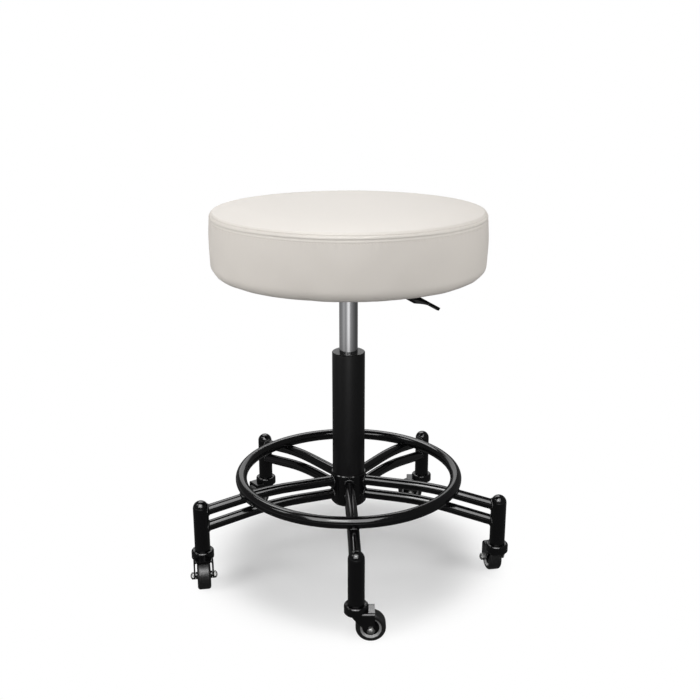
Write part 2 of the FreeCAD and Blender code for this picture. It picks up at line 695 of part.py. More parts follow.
def lever_grip():
    """The plastic grip, drawn along +X and laid on the lever: a round neck, then a finger tongue."""
    radius = GRIP_NECK_DIAMETER / 2
    taper_end = GRIP_NECK_LENGTH + GRIP_TAPER_LENGTH
    length = taper_end + GRIP_TONGUE_LENGTH
    under = radius - GRIP_TONGUE_THICKNESS
    half_tip = GRIP_TONGUE_WIDTH / 2
    bar = Part.makeCylinder(radius, length, Vector(), OUTWARD)
    bar = rounded(bar, GRIP_EDGE, lambda at: at.x < WELD_GAP)
    hollow = ((GRIP_NECK_LENGTH + taper_end) / 2, (under - radius) / 2 + GRIP_HOLLOW)
    side = Outline(0, -radius).line(GRIP_NECK_LENGTH, -radius).arc(hollow, (taper_end, under))
    side.line(length, under).line(length, radius).line(0, radius)
    plan = Outline(0, -radius).line(GRIP_NECK_LENGTH, -radius).line(taper_end, -half_tip)
    plan.line(length - half_tip, -half_tip).arc((length, 0), (length - half_tip, half_tip))
    plan = plan.line(taper_end, half_tip).line(GRIP_NECK_LENGTH, radius).line(0, radius).extruded(2 * radius)
    plan.rotate(Vector(), OUTWARD, 90)
    grip = bar.common(side.extruded(2 * radius)).common(plan)
    bore = Part.makeCylinder(LEVER_ROD_DIAMETER / 2 + WELD_GAP, GRIP_BORE_DEPTH, Vector(), OUTWARD)
    grip = grip.cut(bore)
    grip.rotate(Vector(), SIDEWAYS, LEVER_SLOPE)
    grip.translate(along_lever(GRIP_START))
    return grip


def seat_bolt():
    """A hexagon bolt up through the plate into its tee nut."""
    head = hexagon_bar(BOLT_HEAD_ACROSS, flange_low - BOLT_HEAD_HEIGHT, flange_low)
    return head.fuse(rod(BOLT_DIAMETER / 2, flange_low, board_top - TEE_NUT_SHEET)).removeSplitter()


def tee_nut():
    """A tee nut let into the board from above."""
    barrel = rod(TEE_NUT_BARREL / 2, board_low + COVER_GAP, board_top)
    flange = rod(TEE_NUT_FLANGE / 2, board_top - TEE_NUT_SHEET, board_top)
    return barrel.fuse(flange).removeSplitter().cut(rod(BOLT_DIAMETER / 2 + WELD_GAP, board_low, board_top))


# Seat
def seat_board():
    """The plywood disc that the seat is built on, with the tee nuts' stepped holes."""
    disc = rod(board_radius, board_low, board_top)
    hole = rod(TEE_NUT_BARREL / 2 + WELD_GAP, board_low, board_top)
    step = rod(TEE_NUT_FLANGE / 2 + WELD_GAP, board_top - TEE_NUT_SHEET - WELD_GAP, board_top)
    return disc.cut(at_bolts(hole.fuse(step)))


def cushion(inset):
    """The upholstered seat's form, drawn in from its skin: a slight crown, a rolled edge and a soft foot."""
    top = seat_top - inset
    low = seat_low + inset
    edge = (SEAT_RADIUS - TOP_EDGE_INSET - inset, top - CROWN_DROP)
    seam = (SEAT_RADIUS - SEAM_INSET - inset, seat_top - SEAM_DROP)
    foot_radius = BOTTOM_ROUND - inset
    foot = (SEAT_RADIUS - SIDE_FOOT_INSET - inset, low + foot_radius)
    run = edge[0] - TOP_FLAT_RADIUS
    crown_radius = (run ** 2 + CROWN_DROP ** 2) / (2 * CROWN_DROP)
    crown = (TOP_FLAT_RADIUS + run / 2, top - crown_radius + math.sqrt(crown_radius ** 2 - run ** 2 / 4))
    shoulder = ((edge[0] + seam[0]) / 2 + SHOULDER_BULGE, (edge[1] + seam[1]) / 2 + SHOULDER_BULGE)
    turn = foot_radius * math.sqrt(0.5)
    outline = Outline(0, low).line(foot[0] - foot_radius, low)
    outline.arc((foot[0] - foot_radius + turn, low + foot_radius - turn), foot)
    outline.arc((SEAT_RADIUS - inset, (foot[1] + seam[1]) / 2), seam).arc(shoulder, edge)
    return outline.arc(crown, (TOP_FLAT_RADIUS, top)).line(0, top).turned()


def seat_cover():
    """The vinyl skin, turned in under the board's edge."""
    skin = cushion(0.0).cut(cushion(COVER_THICKNESS))
    return skin.cut(rod(board_radius - WRAP_WIDTH, seat_low, seat_low + COVER_THICKNESS))


def seat_cover_top():
    """The sewn top panel, down to its seam."""
    seam_z = seat_top - SEAM_DROP
    return seat_cover().common(rod(SEAT_RADIUS, seam_z, seat_top))


def seat_cover_side():
    """The sewn side band, from the seam to the turned-in edge."""
    seam_z = seat_top - SEAM_DROP
    return seat_cover().common(rod(SEAT_RADIUS, seat_low, seam_z))


def seat_foam():
    """The foam on and round the board."""
    recess = rod(board_radius + COVER_GAP, seat_low, board_top + COVER_GAP)
    return cushion(COVER_THICKNESS + COVER_GAP).cut(recess)


def dust_cover():
    """The thin cloth under the board, cut out round the mounting plate."""
    high = seat_low - WELD_GAP
    low = high - DUST_COVER_THICKNESS
    disc = rod(board_radius - WRAP_WIDTH + DUST_COVER_LAP, low, high)
    half_length = PLATE_LENGTH / 2 + DUST_COVER_ROOM
    half_width = PLATE_WIDTH / 2 + DUST_COVER_ROOM
    return disc.cut(block((-half_length, half_length), (-half_width, half_width), (low, high)))


def save_base():
    """Writes the fixed base."""
    save("hub_sleeve", hub_sleeve())
    save("upper_arms", round_the_legs(upper_arm()))
    save("lower_arms", round_the_legs(arm(LOWER_ARM_RISE, LOWER_ARM_BEND_AT, lower_arm_z)))
    save("foot_ring", foot_ring())
    for name, angle in zip(CASTER_HEADINGS, arm_angles()):
        save("leg_post_" + name, turned_about_column(leg_post(), angle))
    save("post_caps", round_the_legs(post_cap()))
    save("stem_plugs", round_the_legs(stem_plug()))
    save("caster_stems", round_the_legs(caster_stem()))
    save("column_tube", column_tube())
    save("guide_bush", guide_bush())
    spigot_bore = ROD_SPIGOT_DIAMETER / 2 + RUN_FIT
    save("bearing_lower_race", tube(RACE_DIAMETER / 2, spigot_bore, floor_top, lower_race_top))
    save("bearing_balls", bearing_balls())


def save_casters():
    """Writes the five casters."""
    for (name, heading), angle in zip(CASTER_HEADINGS.items(), arm_angles()):
        save("caster_fork_" + name, at_post(fork(), angle, heading))
        save("swivel_cup_" + name, at_post(swivel_cup(), angle, heading))
        save("wheel_axle_" + name, at_post(wheel_axle(), angle, heading))
        save("tyre_" + name, at_post(tyre(), angle, heading))
        save("wheel_core_" + name, at_post(wheel_core(), angle, heading))


def save_gas_spring():
    """Writes the gas spring."""
    save("piston_rod", piston_rod())
    save("piston_head", piston_head())
    save("retaining_clip", retaining_clip())
    spigot_hole = ROD_SPIGOT_DIAMETER / 2 + WELD_GAP
    save("bearing_upper_race", tube(RACE_DIAMETER / 2, spigot_hole, upper_race_low, upper_race_top))
    save("gas_cylinder", gas_cylinder())
    rod_bore = ROD_DIAMETER / 2 + RUN_FIT
    gland = tube(cylinder_bore - WELD_GAP, rod_bore, cylinder_low, cylinder_low + GLAND_LENGTH)
    save("cylinder_gland", gland)
    save("release_button", release_button())


def save_seat():
    """Writes the seat and its mechanism, turned to the lever's angle."""
    pieces = {
        "taper_socket": taper_socket(),
        "mounting_plate": mounting_plate(),
        "lever_pin": lever_pin(),
        "lever_arm": lever_arm(),
        "lever_grip": lever_grip(),
        "seat_bolts": at_bolts(seat_bolt()),
        "tee_nuts": at_bolts(tee_nut()),
        "seat_board": seat_board(),
        "seat_foam": seat_foam(),
        "seat_cover_top": seat_cover_top(),
        "seat_cover_side": seat_cover_side(),
        "dust_cover": dust_cover(),
    }
    for name, shape in pieces.items():
        save(name, turned_about_column(shape, LEVER_ANGLE))


os.makedirs("parts", exist_ok=True)
save_base()
save_casters()
save_gas_spring()
save_seat()
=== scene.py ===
"""Rolling salon stool: its upholstery, welds and finishes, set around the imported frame.

Units are metres. +Z is up, the floor is z = 0 and the column stands on x = y = 0.
"""

import logging
import math
from collections.abc import Callable
from dataclasses import dataclass
from enum import Enum
from typing import Any

import bpy
import numpy as np
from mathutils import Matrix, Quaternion, Vector
from mathutils.bvhtree import BVHTree


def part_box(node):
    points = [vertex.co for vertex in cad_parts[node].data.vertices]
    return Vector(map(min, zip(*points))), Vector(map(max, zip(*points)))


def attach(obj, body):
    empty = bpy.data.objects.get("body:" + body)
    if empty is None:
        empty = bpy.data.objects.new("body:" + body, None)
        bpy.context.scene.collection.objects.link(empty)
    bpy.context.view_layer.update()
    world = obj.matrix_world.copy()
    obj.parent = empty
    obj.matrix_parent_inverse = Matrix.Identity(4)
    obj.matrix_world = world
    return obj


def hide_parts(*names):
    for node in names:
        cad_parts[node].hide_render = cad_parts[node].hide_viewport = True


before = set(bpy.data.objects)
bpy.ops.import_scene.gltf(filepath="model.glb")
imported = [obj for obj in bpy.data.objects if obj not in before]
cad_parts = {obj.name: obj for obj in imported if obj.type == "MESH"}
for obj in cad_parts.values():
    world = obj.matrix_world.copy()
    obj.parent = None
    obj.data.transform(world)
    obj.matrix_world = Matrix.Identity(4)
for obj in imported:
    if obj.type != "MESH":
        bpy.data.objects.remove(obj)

LOG = logging.getLogger("stool")
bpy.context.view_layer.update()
MM = 0.001
TINY = 1e-9
OUTWARD = "outward"
Triple = tuple[float, float, float]
Colour = Triple
Spot = Triple
Point = tuple[float, float]
Face = tuple[int, ...]
Wave = Callable[[np.ndarray], np.ndarray]
Swelling = Callable[[np.ndarray, np.ndarray], np.ndarray]
# The legs, each with the way that its caster trails, in degrees from +X.
LEGS = {"front": 0.0, "right": 100.0, "back_right": 180.0, "back_left": 217.0, "left": 280.0}


class Signal:
    """A node's output that Python expressions can work with."""

    def __init__(self, graph: "Graph", socket: bpy.types.NodeSocket) -> None:
        """Keeps the socket and the graph that it belongs to."""
        self.graph = graph
        self.socket = socket

    def _maths(self, operation: str, first: Any, second: Any) -> "Signal":
        """Adds a Math node for two values."""
        return self.graph.add("ShaderNodeMath", {"operation": operation}, {0: first, 1: second})

    def __add__(self, other: Any) -> "Signal":
        """The sum."""
        return self._maths("ADD", self, other)

    def __radd__(self, other: Any) -> "Signal":
        """The sum, with the number first."""
        return self._maths("ADD", other, self)

    def __sub__(self, other: Any) -> "Signal":
        """The difference."""
        return self._maths("SUBTRACT", self, other)

    def __rsub__(self, other: Any) -> "Signal":
        """The difference, with the number first."""
        return self._maths("SUBTRACT", other, self)

    def __mul__(self, other: Any) -> "Signal":
        """The product."""
        return self._maths("MULTIPLY", self, other)

    def __rmul__(self, other: Any) -> "Signal":
        """The product, with the number first."""
        return self._maths("MULTIPLY", other, self)

    def __or__(self, other: Any) -> "Signal":
        """The larger of the two, which joins two masks."""
        return self._maths("MAXIMUM", self, other)


class Graph:
    """A node tree that is being built."""

    def __init__(self, tree: bpy.types.NodeTree) -> None:
        """Keeps the tree."""
        self.tree = tree

    def add(self, kind: str, settings: dict[str, Any] | None = None,
            inputs: dict[Any, Any] | None = None, output: str | int = 0) -> Signal:
        """Adds one node.

        Args:
            kind: The node's type.
            settings: Its properties, set first. "stops" fills a colour ramp.
            inputs: A value or signal for each socket, by name or place.
            output: The output to hand back, by name or place.

        Returns:
            The chosen output.
        """
        node = self.tree.nodes.new(kind)
        for name, value in (settings or {}).items():
            if name == "stops":
                self._fill_ramp(node.color_ramp, value)
            else:
                setattr(node, name, value)
        for key, value in (inputs or {}).items():
            self.feed(node.inputs[key], value)
        return Signal(self, node.outputs[output])

    def feed(self, socket: bpy.types.NodeSocket, value: Any) -> None:
        """Links a signal to a socket, or sets the socket's own value.

        Args:
            socket: The input to feed.
            value: A signal, or a plain value that the socket takes.
        """
        if isinstance(value, Signal):
            self.tree.links.new(value.socket, socket)
        else:
            socket.default_value = value

    @staticmethod
    def _fill_ramp(ramp: bpy.types.ColorRamp, stops: list[Point]) -> None:
        """Sets a ramp's grey stops.

        Args:
            ramp: The ramp.
            stops: The place and the level of each stop.
        """
        for index, (place, level) in enumerate(stops):
            stop = ramp.elements[index] if index < len(ramp.elements) else ramp.elements.new(place)
            stop.position = place
            stop.color = (level, level, level, 1.0)

    def place(self, stretch: Triple = (1.0, 1.0, 1.0)) -> Signal:
        """The point on the surface in metres, with each axis scaled."""
        spot = self.add("ShaderNodeTexCoord", output="Object")
        return self.add("ShaderNodeMapping", inputs={"Vector": spot, "Scale": stretch})

    def noise(self, size: float, detail: float = 2.0, stretch: Triple = (1.0, 1.0, 1.0)) -> Signal:
        """Cloudy noise from 0 to 1, by a cloud's width in metres, its finer layers and a factor for each axis."""
        inputs = {"Vector": self.place(stretch), "Scale": 1.0 / size, "Detail": detail}
        return self.add("ShaderNodeTexNoise", None, inputs, "Fac")

    def cells(self, size: float, feature: str = "F1") -> Signal:
        """Irregular cells: the distance that a Voronoi texture measures, about 1 at a cell's width."""
        inputs = {"Vector": self.place(), "Scale": 1.0 / size}
        return self.add("ShaderNodeTexVoronoi", {"feature": feature}, inputs, "Distance")

    def tint(self, factor: Any, first: Colour, second: Colour) -> Signal:
        """A colour between two colours."""
        inputs = {0: factor, 6: (*first, 1.0), 7: (*second, 1.0)}
        return self.add("ShaderNodeMix", {"data_type": "RGBA"}, inputs, 2)

    def bump(self, height: Signal, depth: float) -> Signal:
        """A bumped normal from a height of 0 to 1 and the depth that it stands for."""
        return self.add("ShaderNodeBump", None, {"Strength": 1.0, "Distance": depth, "Height": height})


@dataclass(frozen=True)
class Finish:
    """A surface finish: its colour and roughness, and the pattern that a subclass gives them.

    The shades are factors for its darkest and lightest colour, and the spread is the roughness between its
    glossiest and dullest patch.
    """

    name: str
    colour: Colour
    roughness: float
    shades: Point = (0.8, 1.2)
    gloss_spread: float = 0.05

    def material(self) -> bpy.types.Material:
        """The finish as a material.

        Returns:
            The material, which is made at its first use.
        """
        made = bpy.data.materials.get(self.name)
        if made is None:
            made = bpy.data.materials.new(self.name)
            made.use_nodes = True
            graph = Graph(made.node_tree)
            sockets = made.node_tree.nodes["Principled BSDF"].inputs
            for name, value in self.surface(graph).items():
                graph.feed(sockets[name], value)
        return made

    def surface(self, graph: Graph) -> dict[str, Any]:
        """The shader's inputs by name."""
        raise NotImplementedError

    def shaded(self, graph: Graph, pattern: Signal) -> Signal:
        """The colour from its darkest to its lightest shade, over a pattern from 0 to 1."""
        dark, light = (tuple(channel * factor for channel in self.colour) for factor in self.shades)
        return graph.tint(pattern, dark, light)

    def glossed(self, pattern: Signal) -> Signal:
        """The roughness, spread to both sides over a pattern from 0 to 1."""
        return self.roughness + self.gloss_spread * (pattern - 0.5)


@dataclass(frozen=True)
class GlossPaint(Finish):
    """Stoved gloss paint with a little orange peel."""

    peel_size: float = 2.2 * MM
    peel_depth: float = 0.012 * MM
    patch_size: float = 45 * MM

    def surface(self, graph: Graph) -> dict[str, Any]:
        """Even colour, slightly mottled gloss and a fine peel.

        Args:
            graph: The material's graph.

        Returns:
            The shader's inputs by name.
        """
        return {
            "Base Color": self.shaded(graph, graph.noise(self.patch_size)),
            "Roughness": self.glossed(graph.noise(self.patch_size)),
            "Normal": graph.bump(graph.noise(self.peel_size, detail=1.0), self.peel_depth),
        }


@dataclass(frozen=True)
class DrawnSteel(Finish):
    """Polished or plated steel with faint lines along its length."""

    shades: Point = (0.94, 1.0)
    gloss_spread: float = 0.08
    line_size: float = 0.7 * MM
    line_depth: float = 0.004 * MM
    along: Triple = (1.0, 1.0, 0.01)

    def surface(self, graph: Graph) -> dict[str, Any]:
        """Bare metal with faint lines in its gloss.

        Args:
            graph: The material's graph.

        Returns:
            The shader's inputs by name.
        """
        lines = graph.noise(self.line_size, detail=3.0, stretch=self.along)
        return {
            "Base Color": self.shaded(graph, lines),
            "Metallic": 1.0,
            "Roughness": self.glossed(lines),
            "Normal": graph.bump(lines, self.line_depth),
        }


@dataclass(frozen=True)
class Moulded(Finish):
    """Moulded plastic or rubber with a fine spark grain."""

    shades: Point = (0.75, 1.25)
    gloss_spread: float = 0.12
    grain_size: float = 0.5 * MM
    grain_depth: float = 0.02 * MM
    patch_size: float = 20 * MM

    def surface(self, graph: Graph) -> dict[str, Any]:
        """A dark grain, duller in soft patches.

        Args:
            graph: The material's graph.

        Returns:
            The shader's inputs by name.
        """
        grain = graph.noise(self.grain_size, detail=3.0)
        return {
            "Base Color": self.shaded(graph, grain),
            "Roughness": self.glossed(graph.noise(self.patch_size)),
            "Normal": graph.bump(grain, self.grain_depth),
        }


@dataclass(frozen=True)
class Vinyl(Finish):
    """Upholstery vinyl with a fine pebble grain."""

    shades: Point = (0.97, 1.03)
    gloss_spread: float = 0.1
    pebble_size: float = 0.9 * MM
    pebble_depth: float = 0.05 * MM
    pebble_gloss: float = 0.08
    patch_size: float = 60 * MM
    patch_share: float = 0.75
    specular: float = 0.4

    def surface(self, graph: Graph) -> dict[str, Any]:
        """Pebbles with painted shade in their furrows, on a softly clouded colour.

        Args:
            graph: The material's graph.

        Returns:
            The shader's inputs by name.
        """
        pebbles = graph.cells(self.pebble_size, "SMOOTH_F1")
        cloud = graph.noise(self.patch_size, detail=3.0)
        # The furrows' darker share of the tone is painted shade.
        tone = self.patch_share * cloud + (1.0 - self.patch_share) * (1.0 - pebbles)
        return {
            "Base Color": self.shaded(graph, tone),
            "Roughness": self.glossed(cloud) + self.pebble_gloss * pebbles,
            "Specular IOR Level": self.specular,
            "Normal": graph.bump(1.0 - pebbles, self.pebble_depth),
        }


@dataclass(frozen=True)
class Thread(Finish):
    """Sewing thread."""

    shades: Point = (0.85, 1.1)
    strand_size: float = 0.25 * MM
    strand_depth: float = 0.075 * MM

    def surface(self, graph: Graph) -> dict[str, Any]:
        """Fine strands.

        Args:
            graph: The material's graph.

        Returns:
            The shader's inputs by name.
        """
        strands = graph.noise(self.strand_size)
        return {
            "Base Color": self.shaded(graph, strands),
            "Roughness": self.roughness,
            "Normal": graph.bump(strands, self.strand_depth),
        }


@dataclass(frozen=True)
class Plywood(Finish):
    """Birch plywood: grain on its faces and plies on its edge."""

    shades: Point = (0.6, 1.15)
    ply_size: float = 1.5 * MM
    ply_along: Triple = (0.001, 0.001, 1.0)
    grain_size: float = 3 * MM
    grain_along: Triple = (0.06, 1.0, 1.0)
    grain_depth: float = 0.1 * MM
    grain_share: float = 0.6

    def surface(self, graph: Graph) -> dict[str, Any]:
        """Long grain along x, with darker plies in its depth.

        Args:
            graph: The material's graph.

        Returns:
            The shader's inputs by name.
        """
        grain = graph.noise(self.grain_size, detail=4.0, stretch=self.grain_along)
        plies = graph.noise(self.ply_size, detail=0.0, stretch=self.ply_along)
        tone = self.grain_share * grain + (1.0 - self.grain_share) * plies
        return {
            "Base Color": self.shaded(graph, tone),
            "Roughness": self.roughness,
            "Normal": graph.bump(grain, self.grain_depth),
        }


@dataclass(frozen=True)
class Felt(Finish):
    """Thin pressed cloth with a dimpled bond pattern."""

    shades: Point = (0.6, 1.6)
    dimple_size: float = 2.2 * MM
    dimple_share: float = 0.6
    fibre_size: float = 0.6 * MM
    fibre_along: Triple = (1.0, 0.3, 1.0)
    depth: float = 0.2 * MM
    specular: float = 0.2

    def surface(self, graph: Graph) -> dict[str, Any]:
        """Loose fibres between darker dimples.

        Args:
            graph: The material's graph.

        Returns:
            The shader's inputs by name.
        """
        fibres = graph.noise(self.fibre_size, detail=4.0, stretch=self.fibre_along)
        dimples = graph.cells(self.dimple_size)
        relief = self.dimple_share * dimples + (1.0 - self.dimple_share) * fibres
        return {
            "Base Color": self.shaded(graph, fibres),
            "Roughness": self.roughness,
            "Specular IOR Level": self.specular,
            "Normal": graph.bump(relief, self.depth),
        }


class Slot(Enum):
    """The record's finishes that the frame's own pieces name."""

    BLACK_PAINT = "black_paint"
    CHROME = "chrome"
    BRIGHT_STEEL = "bright_steel"
    BLACK_PLASTIC = "black_plastic"
    TYRE_RUBBER = "tyre_rubber"
    CREAM_VINYL = "cream_vinyl"
    PLYWOOD = "plywood"
    DUST_CLOTH = "dust_cloth"


FINISHES: dict[Slot, Finish] = {
    Slot.BLACK_PAINT: GlossPaint("gloss_black_enamel", (0.003, 0.003, 0.0033), 0.12),
    Slot.CHROME: DrawnSteel("polished_chrome", (0.60, 0.60, 0.61), 0.16),
    Slot.BRIGHT_STEEL: DrawnSteel("zinc_plated_steel", (0.30, 0.30, 0.295), 0.52, along=(1.0, 1.0, 0.2)),
    Slot.BLACK_PLASTIC: Moulded("moulded_black_plastic", (0.006, 0.006, 0.006), 0.32),
    Slot.TYRE_RUBBER: Moulded("hard_black_tread", (0.010, 0.010, 0.010), 0.38, grain_depth=0.01 * MM),
    Slot.CREAM_VINYL: Vinyl("cream_upholstery_vinyl", (0.703, 0.662, 0.612), 0.46),
    Slot.PLYWOOD: Plywood("birch_plywood", (0.55, 0.38, 0.22), 0.62),
    Slot.DUST_CLOTH: Felt("black_dust_cloth", (0.012, 0.012, 0.013), 0.85),
}
SATIN_PAINT = GlossPaint("satin_black_enamel", (0.004, 0.004, 0.0044), 0.32)
WHEEL_PLASTIC = Moulded("glossy_black_plastic", (0.005, 0.005, 0.005), 0.16, grain_depth=0.006 * MM)
# Pale grey that paints the highlight crescents on each wheel's face, not the wheel's own colour.
HIGHLIGHT_RING_GREY = Moulded("painted_highlight_grey", (0.46, 0.46, 0.46), 0.60, grain_depth=0.006 * MM)
CREAM_THREAD = Thread("cream_sewing_thread", (0.70, 0.66, 0.61), 0.7)


@dataclass
class Trail:
    """A closed path on a surface, with the way that the surface faces along it."""

    points: np.ndarray
    outward: np.ndarray


class Stamp(Enum):
    """The small solid that a row repeats."""

    BEAD = "GeometryNodeMeshUVSphere"
    BAR = "GeometryNodeMeshCylinder"


@dataclass(frozen=True)
class Row:
    """What repeats along a trail, such as stitches, weld ripples or staples."""

    stamp: Stamp
    pitch: float
    length: float
    width: float
    height: float
    jitter: float
    seed: int
    facets: int = 8
    rings: int = 6

    def _stamp_node(self, graph: Graph) -> Signal:
        """The stamp at unit size, lying along X.

        Args:
            graph: The row's graph.

        Returns:
            The stamp's geometry.
        """
        if self.stamp is Stamp.BEAD:
            return graph.add(self.stamp.value, None, {"Segments": self.facets, "Rings": self.rings, "Radius": 0.5})
        bar = graph.add(self.stamp.value, None, {"Vertices": self.facets, "Radius": 0.5, "Depth": 1.0})
        return graph.add("GeometryNodeTransform", None, {"Geometry": bar, "Rotation": (0.0, math.pi / 2, 0.0)})

    def _tree(self) -> bpy.types.NodeTree:
        """The node tree that lays the stamps along a path.

        Returns:
            The tree, which is made at its first use.
        """
        name = f"row_of_{self.stamp.name.lower()}s"
        if name in bpy.data.node_groups:
            return bpy.data.node_groups[name]
        tree = bpy.data.node_groups.new(name, "GeometryNodeTree")
        kinds = {"Path": "NodeSocketGeometry", "Seed": "NodeSocketInt", "Finish": "NodeSocketMaterial"}
        sizes = ("Length", "Width", "Height")
        given = ("Path", "Pitch", *sizes, "Jitter", "Seed", "Finish")
        for label in given:
            tree.interface.new_socket(label, in_out="INPUT", socket_type=kinds.get(label, "NodeSocketFloat"))
        tree.interface.new_socket("Row", in_out="OUTPUT", socket_type="NodeSocketGeometry")
        graph = Graph(tree)
        value = {label: graph.add("NodeGroupInput", output=label) for label in given}
        curve = graph.add("GeometryNodeMeshToCurve", None, {"Mesh": value["Path"]})
        spaced = {"Curve": curve, "Length": value["Pitch"]}
        points = graph.add("GeometryNodeResampleCurve", {"mode": "LENGTH"}, spaced)
        along = graph.add("FunctionNodeAlignRotationToVector", {"axis": "X"},
                          {"Vector": graph.add("GeometryNodeInputTangent")})
        facing = graph.add("GeometryNodeInputNamedAttribute", {"data_type": "FLOAT_VECTOR"}, {"Name": OUTWARD})
        rotation = graph.add("FunctionNodeAlignRotationToVector", {"axis": "Z", "pivot_axis": "X"},
                             {"Rotation": along, "Vector": facing})
        wobble = graph.add("FunctionNodeRandomValue", {"data_type": "FLOAT"},
                           {2: 1.0 - value["Jitter"], 3: 1.0 + value["Jitter"], "Seed": value["Seed"]}, 1)
        scale = graph.add("ShaderNodeCombineXYZ", None,
                          {axis: value[label] * wobble for axis, label in zip("XYZ", sizes)})
        laid = {"Points": points, "Instance": self._stamp_node(graph), "Rotation": rotation, "Scale": scale}
        stamps = graph.add("GeometryNodeInstanceOnPoints", None, laid)
        solid = graph.add("GeometryNodeRealizeInstances", None, {"Geometry": stamps})
        smooth = graph.add("GeometryNodeSetShadeSmooth", None, {"Geometry": solid})
        done = graph.add("GeometryNodeSetMaterial", None, {"Geometry": smooth, "Material": value["Finish"]})
        graph.feed(tree.nodes.new("NodeGroupOutput").inputs["Row"], done)
        return tree

    def lay(self, name: str, trails: list[Trail], finish: Finish) -> bpy.types.Object:
        """Lays the row along some trails.

        Args:
            name: The new piece's name.
            trails: The paths to follow.
            finish: What the stamps are made of.

        Returns:
            The piece, as one plain mesh.
        """
        piece = new_piece(name, trail_mesh(name, trails))
        modifier = piece.modifiers.new("row", "NODES")
        modifier.node_group = self._tree()
        values = {"Pitch": self.pitch, "Length": self.length, "Width": self.width, "Height": self.height,
                  "Jitter": self.jitter, "Seed": self.seed, "Finish": finish.material()}
        for item in modifier.node_group.interface.items_tree:
            if item.name in values:
                modifier[item.identifier] = values[item.name]
        mesh = evaluated_mesh(piece)
        piece.modifiers.remove(modifier)
        piece.data = mesh
        return piece


def new_piece(name: str, mesh: bpy.types.Mesh) -> bpy.types.Object:
    """A new object in the scene.

    Args:
        name: The object's name.
        mesh: Its mesh.

    Returns:
        The object.
    """
    piece = bpy.data.objects.new(name, mesh)
    bpy.context.scene.collection.objects.link(piece)
    return piece


def evaluated_mesh(piece: bpy.types.Object) -> bpy.types.Mesh:
    """A plain copy of a piece's mesh with its modifiers applied.

    Args:
        piece: The piece.

    Returns:
        The copy.
    """
    bpy.context.view_layer.update()
    seen = bpy.context.evaluated_depsgraph_get()
    return bpy.data.meshes.new_from_object(piece.evaluated_get(seen))


def trail_mesh(name: str, trails: list[Trail]) -> bpy.types.Mesh:
    """A mesh of closed edge loops that also keeps each point's outward direction.

    Args:
        name: The mesh's name.
        trails: The loops.

    Returns:
        The mesh.
    """
    points = np.concatenate([trail.points for trail in trails])
    facing = np.concatenate([trail.outward for trail in trails])
    edges = []
    start = 0
    for trail in trails:
        count = len(trail.points)
        edges += [(start + index, start + (index + 1) % count) for index in range(count)]
        start += count
    mesh = bpy.data.meshes.new(name)
    mesh.from_pydata(points.tolist(), edges, [])
    attribute = mesh.attributes.new(OUTWARD, "FLOAT_VECTOR", "POINT")
    attribute.data.foreach_set("vector", facing.astype(np.float32).ravel())
    return mesh


def full_turn(count: int) -> np.ndarray:
    """Angles spread evenly over a full turn."""
    return np.linspace(0.0, 2 * math.pi, count, endpoint=False)


def circle(radius: float, height: float, angle: np.ndarray) -> np.ndarray:
    """Points at some angles of a level circle round the column's axis."""
    return np.stack([radius * np.cos(angle), radius * np.sin(angle), np.full_like(angle, height)], axis=-1)


def turned(points: np.ndarray, degrees: float) -> np.ndarray:
    """Points turned about the column's axis.

    Args:
        points: The points, one in each row.
        degrees: How far they turn.

    Returns:
        The turned points.
    """
    angle = math.radians(degrees)
    turn = np.array([[math.cos(angle), -math.sin(angle), 0.0],
                     [math.sin(angle), math.cos(angle), 0.0], [0.0, 0.0, 1.0]])
    return points @ turn.T


def ring_quads(index: np.ndarray) -> list[list[int]]:
    """The faces between closed rings of points, by the points' numbers with one ring in each row."""
    beside = np.roll(index, -1, axis=1)
    return np.stack([index[:-1], beside[:-1], beside[1:], index[1:]], axis=-1).reshape(-1, 4).tolist()


class Outline:
    """A profile of lines and arcs in the r, z plane, kept as closely spaced points."""

    STEP = 0.1 * MM

    def __init__(self, start: Point) -> None:
        """Starts at a point."""
        self.points = [np.array(start)]

    def line(self, end: Point) -> "Outline":
        """Adds a straight stretch.

        Args:
            end: Where it ends.

        Returns:
            The outline.
        """
        begin = self.points[-1]
        count = max(1, round(float(np.linalg.norm(np.array(end) - begin)) / self.STEP))
        self.points += [begin + (np.array(end) - begin) * step / count for step in range(1, count + 1)]
        return self

    def arc(self, middle: Point, end: Point) -> "Outline":
        """Adds a circular stretch.

        Args:
            middle: A point that it passes through.
            end: Where it ends.

        Returns:
            The outline.
        """
        first, second, third = self.points[-1], np.array(middle), np.array(end)
        sides = np.array([second - first, third - first])
        centre = first + np.linalg.solve(2 * sides, (sides ** 2).sum(axis=1))
        radius = float(np.linalg.norm(first - centre))
        angles = [math.atan2(*(point - centre)[::-1]) for point in (first, second, third)]
        sweep = np.unwrap(angles)
        count = max(2, round(radius * abs(sweep[2] - sweep[0]) / self.STEP))
        for angle in np.linspace(sweep[0], sweep[2], count + 1)[1:]:
            self.points.append(centre + radius * np.array((math.cos(angle), math.sin(angle))))
        return self


